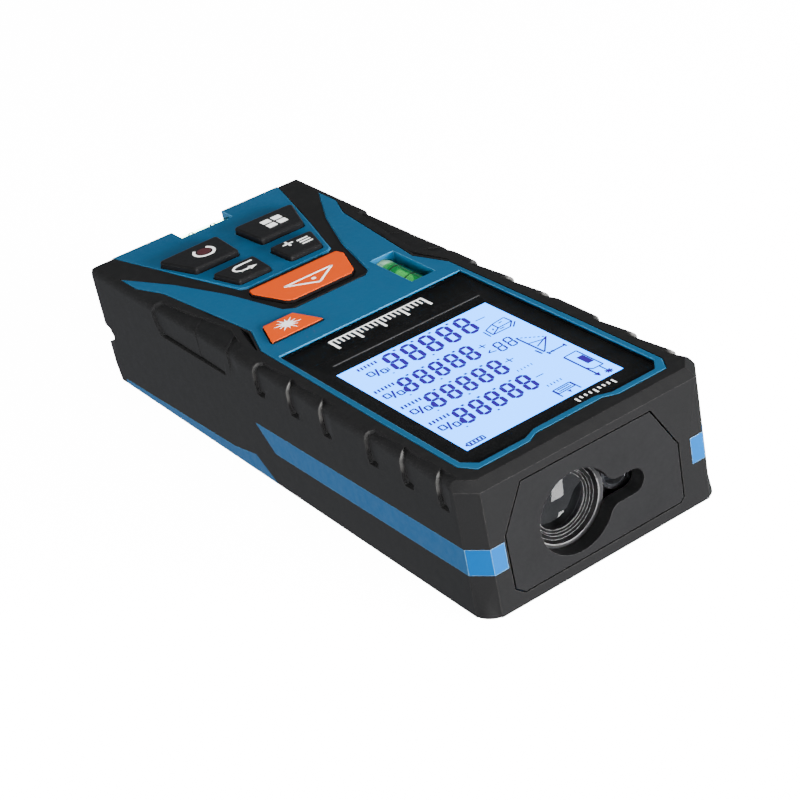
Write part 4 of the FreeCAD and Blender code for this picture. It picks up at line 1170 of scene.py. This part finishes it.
def power_ring():
    return [arc_band(POWER_AT[0], POWER_AT[1], 1.75, 2.35, -50, 230)]


def function_tiles():
    return [rounded_tile(x, y, 1.95, 1.75) for x in (-10.05, -7.55) for y in (-47.2, -44.85)]


def return_arrow():
    path = [(3.2, -35.2), (6.9, -35.2), (7.9, -34.4), (7.9, -33.4), (6.9, -32.6), (4.9, -32.6)]
    return strokes(path, 0.46) + [arrow_head(3.5, -32.6, -1, 0, 1.7)]


def save_stack():
    lines = [stroke((-9.4, y), (-7.0, y), 0.4) for y in (-34.6, -33.55, -32.5)]
    return plus_sign(-5.1, -35.0, 2.3, 0.42) + lines


def warning_triangle():
    path = [(4.9, -20.6), (-5.9, -20.6), (-0.7, -16.7), (4.9, -20.6)]
    return strokes(path, 0.46) + [disc(-0.68, -18.9, 0.48, 12)]


def laser_sun():
    x, y = LASER_AT
    sun = [disc(x, y, 1.15)]
    for i in range(SUN_RAYS):
        a = 2 * math.pi * (i + 0.5) / SUN_RAYS
        reach = 2.7 if i % 2 else 2.1
        ray = [(x + 1.1 * math.cos(a + s), y + 1.1 * math.sin(a + s)) for s in (-0.17, 0.17)]
        sun.append(ray + [(x + reach * math.cos(a), y + reach * math.sin(a))])
    return sun


def key_prints(looks):
    """The white pictures on the keys, and the red spot inside the power ring."""
    for name, shapes, key, look, slot_name in (
            ("power_ring", power_ring(), "power_key", "print_white", "key_black"),
            ("power_centre", [disc(7.4, -46.4, 1.45)], "power_key", "print_red", "key_black"),
            ("function_tiles", function_tiles(), "function_key", "print_white", "key_black"),
            ("unit_mark", return_arrow(), "unit_key", "print_white", "key_black"),
            ("save_mark", save_stack(), "save_key", "print_white", "key_black"),
            ("measure_mark", warning_triangle(), "measure_key", "print_white", "key_orange"),
            ("laser_mark", laser_sun(), "laser_key", "print_white", "key_orange")):
        plates(name, shapes, span(key)[1].z + PRINT_GAP, looks[look], key)


# ---------------------------------------------------------------- stage

FLOOR_HALF = 1.6
FLOOR_Z = -0.0003
FLOOR_GLOW = 14.0


def studio_floor():
    """The pale floor. It is bright to the camera, and lights and mirrors in nothing."""
    material, tree = new_material("studio_floor")
    place = millimetres(tree)
    cloud = noise(tree, place, 60.0, 3.0)
    base = colour_mix(tree, cloud, (0.86, 0.86, 0.87), (0.83, 0.83, 0.84))
    shader = add(tree, "BsdfPrincipled", {
        "Base Color": base, "Roughness": 0.75, "Specular IOR Level": 0.2,
        "Emission Color": (1, 1, 1, 1), "Emission Strength": FLOOR_GLOW})
    output(tree, shader.outputs[0])
    mesh = bpy.data.meshes.new("studio_floor")
    corners = [(x * FLOOR_HALF, y * FLOOR_HALF, FLOOR_Z) for x, y in ((-1, -1), (1, -1), (1, 1), (-1, 1))]
    mesh.from_pydata(corners, [], [[0, 1, 2, 3]])
    mesh.materials.append(material)
    floor = new_object("studio_floor", mesh)
    floor.visible_diffuse = False
    floor.visible_glossy = False


def softbox(name, place, target, size, watts, mirrored=True):
    """An area light; mirrored says whether shiny surfaces show it."""
    light = bpy.data.lights.new(name, "AREA")
    light.shape = "RECTANGLE"
    light.size, light.size_y = size
    light.energy = watts
    lamp = new_object(name, light)
    lamp.location = place
    lamp.rotation_mode = "QUATERNION"
    lamp.rotation_quaternion = (Vector(target) - Vector(place)).to_track_quat("-Z", "Y")
    lamp.visible_glossy = mirrored


SKY = 0.16
BACKDROP = 1.0
CAMERA_AT = Vector((0.156636, 0.284143, 0.187279))
CAMERA_BACK = Vector((0.42723, 0.76051, 0.48897))
CAMERA_UP = Vector((-0.40845, -0.32014, 0.8548))
CAMERA_LENS = 90.63
CAMERA_SENSOR = 36.0
PANE_SPOTS = ((0.0002, -0.002), (0.0002, 0.0015))
PANE_AWAY = 0.35
PANE_SIZE = (0.068, 0.078)
PANE_WATTS = 0.22


def studio_world():
    """A dim sky. Shiny surfaces also see the pale backdrop, brightest at the horizon and below it."""
    world = bpy.data.worlds.new("studio")
    world.use_nodes = True
    tree = world.node_tree
    place = add(tree, "TexCoord").outputs["Generated"]
    up = add(tree, "SeparateXYZ", {0: place}).outputs["Z"]
    glow = remap(tree, up, 0.0, 0.35, BACKDROP - SKY, 0.0)
    shiny = add(tree, "LightPath").outputs["Is Glossy Ray"]
    strength = arithmetic(tree, "ADD", arithmetic(tree, "MULTIPLY", shiny, glow), SKY)
    background = tree.nodes["Background"]
    background.inputs["Color"].default_value = (0.9, 0.93, 1.0, 1)
    tree.links.new(strength, background.inputs["Strength"])
    bpy.context.scene.world = world


def window_panes():
    """Two panes, one above the other, each where its spot on the receiver lens mirrors it to the camera."""
    low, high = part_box("receiver_lens")
    middle = (low + high) / 2
    lens_radius = (high.x - low.x) / 2
    bulge = (high.y - low.y) / 2
    ball = (lens_radius ** 2 + bulge ** 2) / (2 * bulge)
    for number, (across, rise) in enumerate(PANE_SPOTS):
        spot = Vector((across, 0.0, rise))
        normal = (spot / ball + Vector((0, 1, 0))).normalized()
        view = (CAMERA_AT - middle - spot).normalized()
        mirrored = 2 * normal.dot(view) * normal - view
        softbox("pane_" + str(number), middle + mirrored * PANE_AWAY, middle, PANE_SIZE, PANE_WATTS)


def studio_light():
    softbox("overhead", (-0.05, -0.05, 0.8), (0, 0, 0), size=(0.6, 0.6), watts=5.5)
    softbox("front", (-0.25, 0.6, 0.1), (0, 0.02, 0.01), size=(0.5, 0.16), watts=43.0, mirrored=False)
    softbox("side", (0.55, -0.25, 0.09), (0, 0, 0.01), size=(0.5, 0.14), watts=10.0, mirrored=False)
    softbox("fill", (0.33, 0.5, 0.13), (0, 0.03, 0.01), size=(0.3, 0.16), watts=8.0)
    window_panes()


def photo_camera():
    """The camera: from above the laser end, a little to the right."""
    right = CAMERA_UP.cross(CAMERA_BACK).normalized()
    up = CAMERA_BACK.cross(right).normalized()
    back = CAMERA_BACK.normalized()
    camera = bpy.data.cameras.new("camera")
    camera.sensor_width = CAMERA_SENSOR
    camera.lens = CAMERA_LENS
    camera.clip_start = 0.01
    eye = new_object("camera", camera)
    turn = Matrix((right, up, back)).transposed().to_4x4()
    eye.matrix_world = Matrix.Translation(CAMERA_AT) @ turn
    bpy.context.scene.camera = eye


# ---------------------------------------------------------------- build the scene

def build():
    looks = finished_looks()
    paint_cad_nodes(looks)
    sculpted_jacket(looks["jacket_rubber"], looks["pad_rubber"])
    stepped_baffle(looks["ring_black"])
    vial_lines("side_vial_lines", "side_vial_tube", False, looks["print_black"])
    vial_lines("end_vial_lines", "end_vial_tube", True, looks["print_black"])
    display_graphics(looks)
    glass_prints(looks)
    key_prints(looks)
    studio_floor()
    studio_world()
    studio_light()
    photo_camera()


build()
